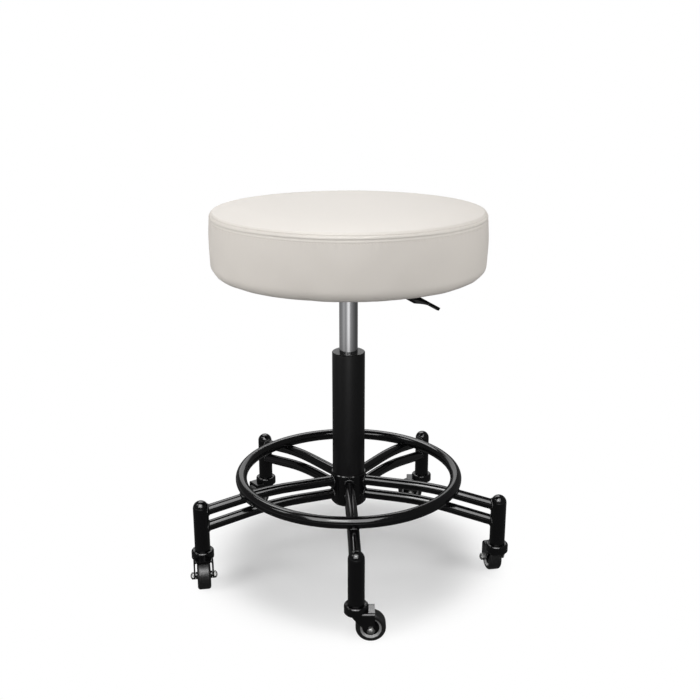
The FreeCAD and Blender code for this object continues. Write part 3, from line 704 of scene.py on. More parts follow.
class Skin:
    """An outline measured by its length, with the way that it faces."""

    ROUNDING = 3 * MM

    def __init__(self, outline: Outline) -> None:
        """Measures an outline.

        Args:
            outline: The outline, with its outside to the right of the way that it runs.
        """
        points = np.array(outline.points)
        steps = np.linalg.norm(np.diff(points, axis=0), axis=1)
        self.length = np.concatenate([[0.0], np.cumsum(steps)])
        self.r = points[:, 0]
        self.z = points[:, 1]
        window = round(self.ROUNDING / Outline.STEP)
        padded = np.pad(points, ((window, window), (0, 0)), mode="reflect", reflect_type="odd")
        chord = padded[2 * window:] - padded[:-2 * window]
        unit = chord / np.linalg.norm(chord, axis=1)[:, None]
        self.out_r = unit[:, 1]
        self.out_z = -unit[:, 0]

    def at(self, distance: np.ndarray) -> tuple[np.ndarray, ...]:
        """The radius, height and outward direction at some distances along the outline."""
        columns = (self.r, self.z, self.out_r, self.out_z)
        return tuple(np.interp(distance, self.length, column) for column in columns)

    def nearest(self, point: Point) -> float:
        """The distance along the outline of its nearest point to a given one."""
        gap = np.hypot(self.r - point[0], self.z - point[1])
        return float(self.length[int(gap.argmin())])


def rolling_noise(seed: int, low: int, high: int) -> Wave:
    """A random wave round the seat.

    Args:
        seed: The seed of its random numbers.
        low: The fewest waves in a full turn.
        high: The most waves in a full turn.

    Returns:
        A function of the angle, about -1 to 1.
    """
    random = np.random.default_rng(seed)
    counts = np.arange(low, high + 1)
    phases = random.uniform(0.0, 2 * math.pi, len(counts))
    weights = random.uniform(0.3, 1.0, len(counts))
    scale = 2.0 * math.sqrt(float((weights ** 2).sum()) / 2)

    def wave(angle: np.ndarray) -> np.ndarray:
        """The wave's height at some angles."""
        waves = np.cos(np.multiply.outer(angle, counts) + phases)
        return (waves * weights).sum(axis=-1) / scale

    return wave


def bell(distance: np.ndarray, width: float) -> np.ndarray:
    """A smooth hump of height 1 that has faded at about twice its width."""
    return np.exp(-(distance / width) ** 2)


@dataclass
class SeatPad:
    """The seat: foam in a sewn vinyl cover that is pulled round the board and stapled under it."""

    # The plain form, from the flat middle of the top to the wrap under the board.
    radius: float
    top: float
    low: float
    seam_height: float
    flat_radius: float = 120 * MM
    crown_drop: float = 3.5 * MM
    edge_inset: float = 6.8 * MM
    seam_inset: float = 2.0 * MM
    shoulder_bulge: float = 1.2 * MM
    foot_inset: float = 1.2 * MM
    foot_round: float = 19.5 * MM
    board_radius: float = 176 * MM
    board_top: float = 479 * MM
    board_gap: float = 0.2 * MM
    cover: float = 1.2 * MM
    wrap: float = 14 * MM
    # The sewing: the top panel's ledge, the seam's groove and lip, the lower row and the crease.
    ledge_height: float = 0.42 * MM
    ledge_rise: float = 1.6 * MM
    ledge_slope: float = 2.3 * MM
    ledge_face: float = 0.9 * MM
    groove_depth: float = 0.06 * MM
    groove_width: float = 0.9 * MM
    lip_height: float = 0.24 * MM
    lip_width: float = 1.0 * MM
    lip_drop: float = 2.5 * MM
    row_drop: float = 5.0 * MM
    row_depth: float = 0.05 * MM
    row_width: float = 0.8 * MM
    crease_rise: float = 5.6 * MM
    crease_depth: float = 0.6 * MM
    crease_width: float = 0.6 * MM
    # What the vinyl does by itself: a wandering seam, puckers, dents and pleats.
    seam_wander: float = 0.35 * MM
    side_pucker: float = 0.16 * MM
    side_pucker_width: float = 7 * MM
    top_pucker: float = 0.10 * MM
    top_pucker_width: float = 9 * MM
    dent_depth: float = 0.6 * MM
    dent_rolls: float = 1.2
    pleat_depth: float = 0.9 * MM
    pleat_reach: float = 0.7
    pleat_fade: float = 0.7
    crease_shift: float = 1.0
    wave_shift: float = 2.0
    # The mesh, which is finer at the seam.
    segments: int = 540
    fine_step: float = 0.36 * MM
    coarse_step: float = 4.0 * MM
    step_growth: float = 0.16
    fine_margin: float = 2 * MM
    sharp_angle: float = 50.0
    # The stitches.
    stitch_lift: float = 0.1 * MM
    stitches: Row = Row(Stamp.BEAD, pitch=4.2 * MM, length=3.4 * MM, width=0.75 * MM, height=0.6 * MM,
                        jitter=0.06, seed=4)

    @classmethod
    def from_frame(cls) -> "SeatPad":
        """Takes the main sizes from the frame's cover.

        Returns:
            The seat.
        """
        panel_low, panel_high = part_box("seat_cover_top")
        band_low, band_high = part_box("seat_cover_side")
        return cls(band_high.x, panel_high.z, band_low.z, panel_low.z)

    def __post_init__(self) -> None:
        """Draws the skin and finds the seam and the crease on it."""
        self.edge = (self.radius - self.edge_inset, self.top - self.crown_drop)
        self.seam = (self.radius - self.seam_inset, self.seam_height)
        self.skin = Skin(self._skin_outline())
        self.seam_at = self.skin.nearest(self.seam)
        self.crease_at = self.seam_at + self.crease_rise
        self.drift = rolling_noise(seed=3, low=2, high=9)
        self.pucker = rolling_noise(seed=5, low=70, high=150)
        self.dents = rolling_noise(seed=11, low=9, high=30)
        self.pleats = rolling_noise(seed=17, low=40, high=76)
        self.swelling: Swelling | None = None

    def _skin_outline(self) -> Outline:
        """The outside of the cover.

        Returns:
            Its outline, from the stapled edge under the board to the middle of the top.
        """
        foot = (self.radius - self.foot_inset, self.low + self.foot_round)
        turn = self.foot_round * math.sqrt(0.5)
        inner = foot[0] - self.foot_round
        shoulder = tuple((a + b) / 2 + self.shoulder_bulge for a, b in zip(self.edge, self.seam))
        run = self.edge[0] - self.flat_radius
        bow = (run ** 2 + self.crown_drop ** 2) / (2 * self.crown_drop)
        crown = (self.flat_radius + run / 2, self.top - bow + math.sqrt(bow ** 2 - run ** 2 / 4))
        outline = Outline((self.board_radius - self.wrap, self.low)).line((inner, self.low))
        outline.arc((inner + turn, self.low + self.foot_round - turn), foot)
        outline.arc((self.radius, (foot[1] + self.seam[1]) / 2), self.seam).arc(shoulder, self.edge)
        return outline.arc(crown, (self.flat_radius, self.top)).line((0.0, self.top))

    def _sewn(self, below: np.ndarray, above: np.ndarray, angle: np.ndarray) -> np.ndarray:
        """How the sewing lifts and draws in the cover.

        Args:
            below: How far each place lies below the seam.
            above: How far it lies above the crease in the top panel.
            angle: Its angle round the seat.

        Returns:
            The rise at each place.
        """
        from_ledge = -below - self.ledge_rise
        ledge = np.where(from_ledge > 0.0, bell(from_ledge, self.ledge_slope), bell(from_ledge, self.ledge_face))
        rise = self.ledge_height * ledge + self.lip_height * bell(below - self.lip_drop, self.lip_width)
        rise = rise - self.groove_depth * bell(below, self.groove_width)
        rise = rise - self.row_depth * bell(below - self.row_drop, self.row_width)
        rise = rise - self.crease_depth * bell(above, self.crease_width)
        side_pucker = self.side_pucker * self.pucker(angle)
        rise = rise + side_pucker * bell(below - self.row_drop, self.side_pucker_width)
        top_pucker = self.top_pucker * self.pucker(angle + self.wave_shift)
        return rise + top_pucker * bell(above, self.top_pucker_width)

    def _rise(self, distance: np.ndarray, angle: np.ndarray) -> np.ndarray:
        """How far the cover stands out from its plain form.

        Args:
            distance: Distances along the skin, as a column.
            angle: Angles round the seat, as a row.

        Returns:
            The rise at every distance and angle.
        """
        below = self.seam_at - distance + self.seam_wander * self.drift(angle)
        above = distance - self.crease_at + self.seam_wander * self.drift(angle + self.crease_shift)
        rise = self._sewn(below, above, angle)
        side = np.clip((self.seam_at - distance) / self.seam_at, 0.0, 1.0)
        roll = 2 * math.pi * self.dent_rolls * side
        dents = self.dents(angle) * np.cos(roll) + self.dents(angle + self.wave_shift) * np.sin(roll)
        rise = rise + self.dent_depth * dents * np.sin(math.pi * side) ** 2
        tucked = np.clip(1.0 - distance / (self.pleat_reach * self.foot_round + self.wrap), 0.0, 1.0)
        rise = rise - self.pleat_depth * np.clip(self.pleats(angle), 0.0, 1.0) * tucked ** self.pleat_fade
        if self.swelling is not None:
            rise = rise + self.swelling(distance, angle)
        return rise

    def surface(self, distance: np.ndarray, angle: np.ndarray) -> tuple[np.ndarray, np.ndarray]:
        """Points of the cover and the way that it faces there.

        Args:
            distance: Distances along the skin, as a column.
            angle: Angles round the seat, as a row.

        Returns:
            Points and directions, each by distance, angle and axis.
        """
        r, z, out_r, out_z = self.skin.at(distance)
        rise = self._rise(distance, angle)
        radial = r + out_r * rise
        points = np.stack([radial * np.cos(angle), radial * np.sin(angle), z + out_z * rise], axis=-1)
        flat = np.ones_like(angle)
        facing = np.stack([out_r * np.cos(angle), out_r * np.sin(angle), out_z * flat], axis=-1)
        return points, facing

    def _stations(self) -> np.ndarray:
        """Where the mesh has a ring, closer together at the seam.

        Returns:
            Distances along the skin.
        """
        fine_from = self.seam_at - self.row_drop - self.fine_margin
        fine_to = self.crease_at + self.fine_margin
        places = [0.0]
        while places[-1] < self.skin.length[-1]:
            here = places[-1]
            beside = max(fine_from - here, here - fine_to, 0.0)
            places.append(here + min(self.coarse_step, self.fine_step + self.step_growth * beside))
        return np.array(places[:-2])

    def _rings(self) -> np.ndarray:
        """The rings of the mesh.

        Returns:
            The points of every ring, from the recess over the board to the edge of the top's middle.
        """
        angle = full_turn(self.segments)
        inner = self.low + self.cover
        recess = self.board_radius + self.board_gap
        roof = self.board_top + self.board_gap
        corners = [(recess, roof), (recess, inner), (self.board_radius - self.wrap, inner)]
        rings = [circle(r, z, angle) for r, z in corners]
        outside, _ = self.surface(self._stations()[:, None], angle[None, :])
        return np.concatenate([np.array(rings), outside])

    def _mesh(self) -> bpy.types.Mesh:
        """The closed cover.

        Returns:
            The cover as a mesh.
        """
        rings = self._rings()
        roof = (0.0, 0.0, self.board_top + self.board_gap)
        crown = (0.0, 0.0, float(rings[-1][:, 2].mean()))
        points = rings.reshape(-1, 3).tolist() + [roof, crown]
        index = np.arange(len(rings) * self.segments).reshape(-1, self.segments)
        beside = np.roll(index, -1, axis=1)
        lid = [(after, here, index.size) for here, after in zip(index[0], beside[0])]
        cap = [(here, after, index.size + 1) for here, after in zip(index[-1], beside[-1])]
        mesh = bpy.data.meshes.new("seat_cushion")
        mesh.from_pydata(points, [], ring_quads(index) + lid + cap)
        mesh.polygons.foreach_set("use_smooth", np.ones(len(mesh.polygons), bool))
        mesh.set_sharp_from_angle(angle=math.radians(self.sharp_angle))
        return mesh

    def ring(self, distance: float, lift: float) -> Trail:
        """A path round the seat at a distance along the skin, lifted off the cover."""
        points, facing = self.surface(np.array([[distance]]), full_turn(self.segments)[None, :])
        return Trail(points[0] + lift * facing[0], facing[0])

    def build(self) -> bpy.types.Object:
        """Makes the cushion and hangs it on the frame.

        Returns:
            The cushion.
        """
        self.swelling = PadSwelling(self).measured()
        cushion = new_piece("seat_cushion", self._mesh())
        cushion.data.materials.append(FINISHES[Slot.CREAM_VINYL].material())
        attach(cushion, "seat")
        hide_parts("seat_foam", "seat_cover_top", "seat_cover_side")
        return cushion

    def stitch(self) -> bpy.types.Object:
        """Sews the two rows of stitches beside the seam.

        Returns:
            The stitches.
        """
        trails = [self.ring(distance, self.stitch_lift) for distance in (self.crease_at, self.seam_at - self.row_drop)]
        stitches = self.stitches.lay("seat_stitches", trails, CREAM_THREAD)
        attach(stitches, "seat")
        return stitches


@dataclass
class PadSwelling:
    """How the stuffed pad fills its cover: a cloth simulation of a slightly smaller pad."""

    pad: SeatPad
    # The slack pad.
    slack: float = 2.5 * MM
    voxel: float = 5 * MM
    rings: int = 120
    # Its stuffing, and what holds it back.
    pressure: float = 4.0
    frames: int = 20
    cap: float = 5 * MM
    foot_held: float = 0.5
    seam_hold: float = 0.6
    stuffing: float = 0.8
    stuffing_spread: float = 0.2
    stuffing_twist: float = 9.0
    # How the swelling is measured and smoothed.
    turns: int = 96
    step: float = 3 * MM
    stand: float = 30 * MM
    harmonics: int = 16
    smooth_reach: int = 6
    smooth_width: float = 3.0
    limit: float = 1.0 * MM

    def _slack_pad(self) -> bpy.types.Object:
        """The pad before it swells.

        Returns:
            The pad, remeshed evenly.
        """
        angle = full_turn(self.turns)
        distance = np.linspace(0.0, self.pad.skin.length[-1] - self.step, self.rings)
        r, z, out_r, out_z = self.pad.skin.at(distance)
        r, z = r - self.slack * out_r, z - self.slack * out_z
        rings = np.stack([np.outer(r, np.cos(angle)), np.outer(r, np.sin(angle)),
                          np.outer(z, np.ones_like(angle))], axis=-1)
        index = np.arange(self.rings * self.turns).reshape(-1, self.turns)
        faces = ring_quads(index) + [index[0][::-1].tolist(), index[-1].tolist()]
        mesh = bpy.data.meshes.new("slack_pad")
        mesh.from_pydata(rings.reshape(-1, 3).tolist(), [], faces)
        pad = new_piece("slack_pad", mesh)
        remesh = pad.modifiers.new("remesh", "REMESH")
        remesh.mode = "VOXEL"
        remesh.voxel_size = self.voxel
        even = evaluated_mesh(pad)
        pad.modifiers.remove(remesh)
        pad.data = even
        return pad

    def _hold(self, pad: bpy.types.Object) -> None:
        """Holds the foot and the seam, and stuffs the rest a little unevenly.

        Args:
            pad: The slack pad.
        """
        held = pad.vertex_groups.new(name="held")
        stuffed = pad.vertex_groups.new(name="stuffed")
        uneven = rolling_noise(seed=23, low=2, high=12)
        for vertex in pad.data.vertices:
            angle = math.atan2(vertex.co.y, vertex.co.x)
            out = vertex.co.xy.length
            at_foot = vertex.co.z < self.pad.low + self.foot_held * self.pad.foot_round
            at_seam = abs(vertex.co.z - self.pad.seam_height) < self.voxel and out > self.pad.edge[0]
            held.add([vertex.index], 1.0 if at_foot else self.seam_hold if at_seam else 0.0, "REPLACE")
            wave = float(uneven(np.array([angle + self.stuffing_twist * out]))[0])
            stuffed.add([vertex.index], min(1.0, self.stuffing + self.stuffing_spread * wave), "REPLACE")

    def _swollen(self) -> tuple[np.ndarray, list[Face]]:
        """The pad after the simulation.

        Returns:
            Its points, none moved further than the cap, and its faces.
        """
        pad = self._slack_pad()
        self._hold(pad)
        cloth = pad.modifiers.new("swell", "CLOTH")
        cloth.settings.use_pressure = True
        cloth.settings.uniform_pressure_force = self.pressure
        cloth.settings.vertex_group_pressure = "stuffed"
        cloth.settings.vertex_group_mass = "held"
        cloth.settings.effector_weights.gravity = 0.0
        cloth.point_cache.frame_end = self.frames
        scene = bpy.context.scene
        for number in range(1, self.frames + 1):
            scene.frame_set(number)
        mesh = evaluated_mesh(pad)
        before = np.array([vertex.co for vertex in pad.data.vertices])
        move = np.array([vertex.co for vertex in mesh.vertices]) - before
        reach = np.linalg.norm(move, axis=1, keepdims=True)
        move *= np.minimum(1.0, self.cap / np.maximum(reach, TINY))
        faces = [tuple(face.vertices) for face in mesh.polygons]
        scene.frame_set(1)
        bpy.data.objects.remove(pad)
        return before + move, faces

    def measured(self) -> Swelling:
        """Runs the simulation and measures it against the plain form.

        Returns:
            A function of distance and angle that gives the smoothed swelling.
        """
        points, faces = self._swollen()
        tree = BVHTree.FromPolygons(points.tolist(), faces)
        distance = np.arange(0.0, self.pad.skin.length[-1], self.step)
        angle = full_turn(self.turns)
        r, z, out_r, out_z = self.pad.skin.at(distance)
        gap = np.zeros((len(distance), self.turns))
        for row in range(len(distance)):
            for turn, (cos, sin) in enumerate(zip(np.cos(angle), np.sin(angle))):
                out = Vector((out_r[row] * cos, out_r[row] * sin, out_z[row]))
                start = Vector((r[row] * cos, r[row] * sin, z[row])) + self.stand * out
                hit = tree.ray_cast(start, -out, 2 * self.stand)
                gap[row, turn] = 0.0 if hit[0] is None else self.stand - hit[3]
        LOG.info("pad swelling from %.2f to %.2f mm", gap.min() / MM, gap.max() / MM)
        return self._lookup(distance, self._smoothed(gap))

    def _smoothed(self, gap: np.ndarray) -> np.ndarray:
        """The swelling without its mean and its fine waves, and held to the limit.

        Args:
            gap: The measured swelling, by distance and angle.

        Returns:
            The smoothed swelling.
        """
        waves = np.fft.rfft(gap, axis=1)
        waves[:, self.harmonics:] = 0.0
        waves[:, 0] = 0.0
        gap = np.fft.irfft(waves, self.turns, axis=1)
        reach = self.smooth_reach
        kernel = bell(np.arange(-reach, reach + 1), self.smooth_width)
        padded = np.pad(gap, ((reach, reach), (0, 0)), mode="edge")
        gap = np.apply_along_axis(np.convolve, 0, padded, kernel / kernel.sum(), "valid")
        return self.limit * np.tanh(gap / self.limit)

    def _lookup(self, distance: np.ndarray, gap: np.ndarray) -> Swelling:
        """A function that reads the measured swelling between its samples.

        Args:
            distance: The samples' distances along the skin.
            gap: The swelling, by distance and angle.

        Returns:
            The function.
        """
        waves = np.fft.rfft(gap, axis=1) / self.turns
        counts = np.arange(1, self.harmonics)

        def swelling(where: np.ndarray, angle: np.ndarray) -> np.ndarray:
            """The swelling at some places.

            Args:
                where: Distances along the skin, as a column.
                angle: Angles round the seat, as a row.

            Returns:
                The swelling at every distance and angle.
            """
            turn = np.exp(1j * np.multiply.outer(counts, angle[0]))
            column = where[:, 0]
            real = [np.interp(column, distance, waves[:, count].real) for count in counts]
            imaginary = [np.interp(column, distance, waves[:, count].imag) for count in counts]
            return 2 * ((np.array(real) + 1j * np.array(imaginary)).T @ turn).real

        return swelling


@dataclass
class Underside:
    """What is under the seat: the staples that hold the dust cloth and the cover's edge."""

    inset: float = 4 * MM
    steps: int = 180
    staples: Row = Row(Stamp.BAR, pitch=26 * MM, length=10 * MM, width=1.1 * MM, height=0.6 * MM,
                       jitter=0.03, seed=8)

    def build(self) -> bpy.types.Object:
        """Staples the dust cloth round its edge.

        Returns:
            The staples.
        """
        low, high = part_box("dust_cover")
        points = circle(high.x - self.inset, low.z, full_turn(self.steps))
        facing = np.tile((0.0, 0.0, -1.0), (self.steps, 1))
        staples = self.staples.lay("cover_staples", [Trail(points, facing)], FINISHES[Slot.BRIGHT_STEEL])
        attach(staples, "seat")
        return staples


@dataclass
class BaseWelds:
    """The weld beads that join the base's tubes."""

    # The tubes, and where the arms meet the hub, the posts and their own bends.
    arm_radius: float = 8 * MM
    ring_radius: float = 8.7 * MM
    hub_margin: float = 13.8 * MM
    upper_on_post: float = 61.7 * MM
    lower_on_post: float = 35.3 * MM
    upper_bend: float = 135 * MM
    lower_bend: float = 121 * MM
    front_angle: float = -87.5
    # The beads.
    saddle_steps: int = 48
    seat_steps: int = 40
    seat_lean: Point = (0.8, 0.6)
    ripples: Row = Row(Stamp.BEAD, pitch=1.5 * MM, length=3.0 * MM, width=4.0 * MM, height=2.6 * MM,
                       jitter=0.10, seed=2)

    def __post_init__(self) -> None:
        """Reads the hub, posts and ring from the frame."""
        hub_low, hub_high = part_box("hub_sleeve")
        post_low, post_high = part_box("leg_post_front")
        ring_low, ring_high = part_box("foot_ring")
        self.hub_radius = hub_high.x
        self.post_radius = (post_high.x - post_low.x) / 2
        self.post_circle = ((post_low + post_high) / 2).xy.length
        self.ring_circle = ring_high.x - self.ring_radius
        self.ring_height = (ring_low.z + ring_high.z) / 2
        self.upper_hub = hub_high.z - self.hub_margin
        self.lower_hub = hub_low.z + self.hub_margin
        self.upper_post = post_low.z + self.upper_on_post
        self.lower_post = post_low.z + self.lower_on_post
        self.upper_slope = (self.upper_hub - self.upper_post) / (self.post_circle - self.upper_bend)
        self.lower_slope = (self.lower_hub - self.lower_post) / (self.post_circle - self.lower_bend)

    def _saddle(self, wall: float, centre: float, height: float, side: float, slope: float) -> Trail:
        """The line where an arm meets an upright tube, drawn along +X.

        Args:
            wall: The upright tube's radius.
            centre: The distance of its axis from the column.
            height: The height of the arm's axis there.
            side: 1 where the arm comes from further out and -1 where it comes from nearer in.
            slope: How far the arm falls for each metre outwards.

        Returns:
            The line and the way that a bead on it faces.
        """
        turn = full_turn(self.saddle_steps)
        across = self.arm_radius * np.cos(turn)
        out = np.sqrt(wall ** 2 - across ** 2)
        rise = self.arm_radius * np.sin(turn) - slope * side * out
        points = np.stack([centre + side * out, across, height + rise], axis=-1)
        post_way = np.stack([side * out / wall, across / wall, np.zeros_like(turn)], axis=-1)
        arm_way = np.stack([np.zeros_like(turn), np.cos(turn), np.sin(turn)], axis=-1)
        facing = post_way + arm_way
        return Trail(points, facing / np.linalg.norm(facing, axis=1, keepdims=True))

    def _ring_seat(self) -> Trail:
        """The line where the foot ring lies in an upper arm, drawn along +X.

        Returns:
            The line and the way that a bead on it faces.
        """
        arm_height = self.upper_hub - (self.ring_circle - self.upper_bend) * self.upper_slope
        sunk = self.ring_height - self.ring_radius
        limit = math.sqrt(self.arm_radius ** 2 - (sunk - arm_height) ** 2)
        turn = full_turn(self.seat_steps)
        across = limit * np.sin(turn)
        height = arm_height + np.sqrt(self.arm_radius ** 2 - across ** 2)
        reach = np.sqrt(np.maximum(self.ring_radius ** 2 - (self.ring_height - height) ** 2, 0.0))
        shift = np.sign(np.cos(turn)) * reach
        points = np.stack([self.ring_circle + shift, across, height - self.upper_slope * shift], axis=-1)
        facing = circle(*self.seat_lean, turn)
        return Trail(points, facing)

    def _trails(self) -> list[Trail]:
        """Every weld of the base.

        Returns:
            The lines of all the legs' welds.
        """
        one_leg = [
            self._saddle(self.hub_radius, 0.0, self.upper_hub, 1.0, 0.0),
            self._saddle(self.hub_radius, 0.0, self.lower_hub, 1.0, 0.0),
            self._saddle(self.post_radius, self.post_circle, self.upper_post, -1.0, self.upper_slope),
            self._saddle(self.post_radius, self.post_circle, self.lower_post, -1.0, self.lower_slope),
            self._ring_seat(),
        ]
        headings = [self.front_angle + index * 360.0 / len(LEGS) for index in range(len(LEGS))]
        return [Trail(turned(trail.points, heading), turned(trail.outward, heading))
                for heading in headings for trail in one_leg]

    def build(self) -> bpy.types.Object:
        """Lays the beads as overlapping ripples.

        Returns:
            The beads.
        """
        welds = self.ripples.lay("weld_beads", self._trails(), FINISHES[Slot.BLACK_PAINT])
        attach(welds, "base")
        return welds


@dataclass
class PaintedHighlightRings:
    """Pale grey dished rings between wheel core and tread: a painted highlight on each wheel's face."""

    inner: Point = (11.9 * MM, 7.5 * MM)
    outer: Point = (14.7 * MM, 9.6 * MM)
    sheet: float = 0.6 * MM
    steps: int = 72
    sharp_angle: float = 30.0

    def _ring(self, side: int) -> tuple[np.ndarray, list[list[int]]]:
        """One ring about the y axis.

        Args:
            side: 1 for the ring towards +Y and -1 for the other.

        Returns:
            Its points and faces.
        """
        section = (self.inner, self.outer, (self.outer[0], self.outer[1] - self.sheet),
                   (self.inner[0], self.inner[1] - self.sheet))
        points = [(radius * math.cos(angle), side * depth, radius * math.sin(angle))
                  for angle in full_turn(self.steps) for radius, depth in section]
        index = np.arange(len(points)).reshape(self.steps, -1)
        faces = ring_quads(np.concatenate([index, index[:1]]))
        return np.array(points), [face[::side] for face in faces]

    def build(self, leg: str, heading: float) -> bpy.types.Object:
        """Sets both rings of painted highlight into one wheel.

        Args:
            leg: The wheel's leg.
            heading: The way its caster trails, in degrees from +X.

        Returns:
            The rings.
        """
        low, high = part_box(f"tyre_{leg}")
        near, faces = self._ring(1)
        far, far_faces = self._ring(-1)
        faces += [[index + len(near) for index in face] for face in far_faces]
        points = turned(np.concatenate([near, far]), heading) + np.array((low + high) / 2)
        mesh = bpy.data.meshes.new(f"wheel_highlight_rings_{leg}")
        mesh.from_pydata(points.tolist(), [], faces)
        mesh.shade_smooth()
        mesh.set_sharp_from_angle(angle=math.radians(self.sharp_angle))
        # The rings' pale grey is a painted highlight.
        mesh.materials.append(HIGHLIGHT_RING_GREY.material())
        rings = new_piece(mesh.name, mesh)
        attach(rings, f"wheel_{leg}")
        return rings

    def build_all(self) -> list[bpy.types.Object]:
        """Sets the rings of painted highlight into every wheel."""
        return [self.build(leg, heading) for leg, heading in LEGS.items()]


def dress_frame() -> int:
    """Gives the frame's own pieces their finishes.

    Returns:
        The number of pieces dressed.
    """
    special = {"column_tube": SATIN_PAINT}
    special |= {f"wheel_core_{leg}": WHEEL_PLASTIC for leg in LEGS}
    known = {slot.value: finish for slot, finish in FINISHES.items()}
    dressed = 0
    for name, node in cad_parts.items():
        for slot in node.material_slots:
            finish = special.get(name) or known.get(slot.material.name)
            if finish is not None:
                slot.material = finish.material()
                dressed += 1
    return dressed


def bare_material(name: str) -> tuple[bpy.types.Material, Graph]:
    """A material without the usual shader.

    Args:
        name: The material's name.

    Returns:
        The material and its graph.
    """
    material = bpy.data.materials.new(name)
    material.use_nodes = True
    material.node_tree.nodes.remove(material.node_tree.nodes["Principled BSDF"])
    return material, Graph(material.node_tree)


def glow_material(name: str, strength: Callable[[Graph], Any]) -> bpy.types.Material:
    """A material that only glows.

    Args:
        name: The material's name.
        strength: Gives the glow's strength in a graph, as a number or a signal.

    Returns:
        The material.
    """
    material, graph = bare_material(name)
    glow = graph.add("ShaderNodeEmission", None, {"Strength": strength(graph)})
    graph.feed(material.node_tree.nodes["Material Output"].inputs["Surface"], glow)
    return material


def stage_sheet(name: str, points: list[Spot], faces: list[Face], material: bpy.types.Material) -> bpy.types.Object:
    """A flat piece of the set.

    Args:
        name: Its name.
        points: Its corners.
        faces: The corners of each of its faces.
        material: What it is made of.

    Returns:
        The piece.
    """
    mesh = bpy.data.meshes.new(name)
    mesh.from_pydata(points, [], faces)
    mesh.materials.append(material)
    sheet = new_piece(name, mesh)
    return sheet


def only_reflected(sheet: bpy.types.Object) -> None:
    """Leaves a piece of the set to reflections alone.

    Args:
        sheet: The piece.
    """
    sheet.visible_camera = False
    sheet.visible_diffuse = False
    sheet.visible_transmission = False
    sheet.visible_shadow = False


@dataclass(frozen=True)
class Panel:
    """A flat panel of the set that faces a point."""

    name: str
    place: Spot
    aim: Spot
    width: float
    height: float
    level: float

    def facing(self) -> Quaternion:
        """The turn that points the panel's -Z at its aim."""
        return (Vector(self.aim) - Vector(self.place)).to_track_quat("-Z", "Y")


@dataclass(frozen=True)
class Softbox(Panel):
    """A lamp for the stool's matt surfaces."""

    def build(self) -> bpy.types.Object:
        """Hangs the lamp.

        Returns:
            The lamp.
        """
        data = bpy.data.lights.new(self.name, "AREA")
        data.shape = "RECTANGLE"
        data.size = self.width
        data.size_y = self.height
        data.energy = self.level * math.pi * self.width * self.height
        lamp = bpy.data.objects.new(self.name, data)
        lamp.location = self.place
        lamp.rotation_euler = self.facing().to_euler()
        lamp.visible_camera = False
        lamp.visible_glossy = False
        bpy.context.scene.collection.objects.link(lamp)
        return lamp


@dataclass(frozen=True)
class Card(Panel):
    """A bright card for the stool's glossy surfaces."""

    def build(self) -> bpy.types.Object:
        """Stands the card up.

        Returns:
            The card.
        """
        turn = self.facing()
        corners = [Vector((x * self.width / 2, y * self.height / 2, 0.0))
                   for x, y in ((-1, -1), (-1, 1), (1, 1), (1, -1))]
        points = [tuple(Vector(self.place) + turn @ corner) for corner in corners]
        card = stage_sheet(self.name, points, [(0, 1, 2, 3)], glow_material(self.name, lambda graph: self.level))
        only_reflected(card)
        return card


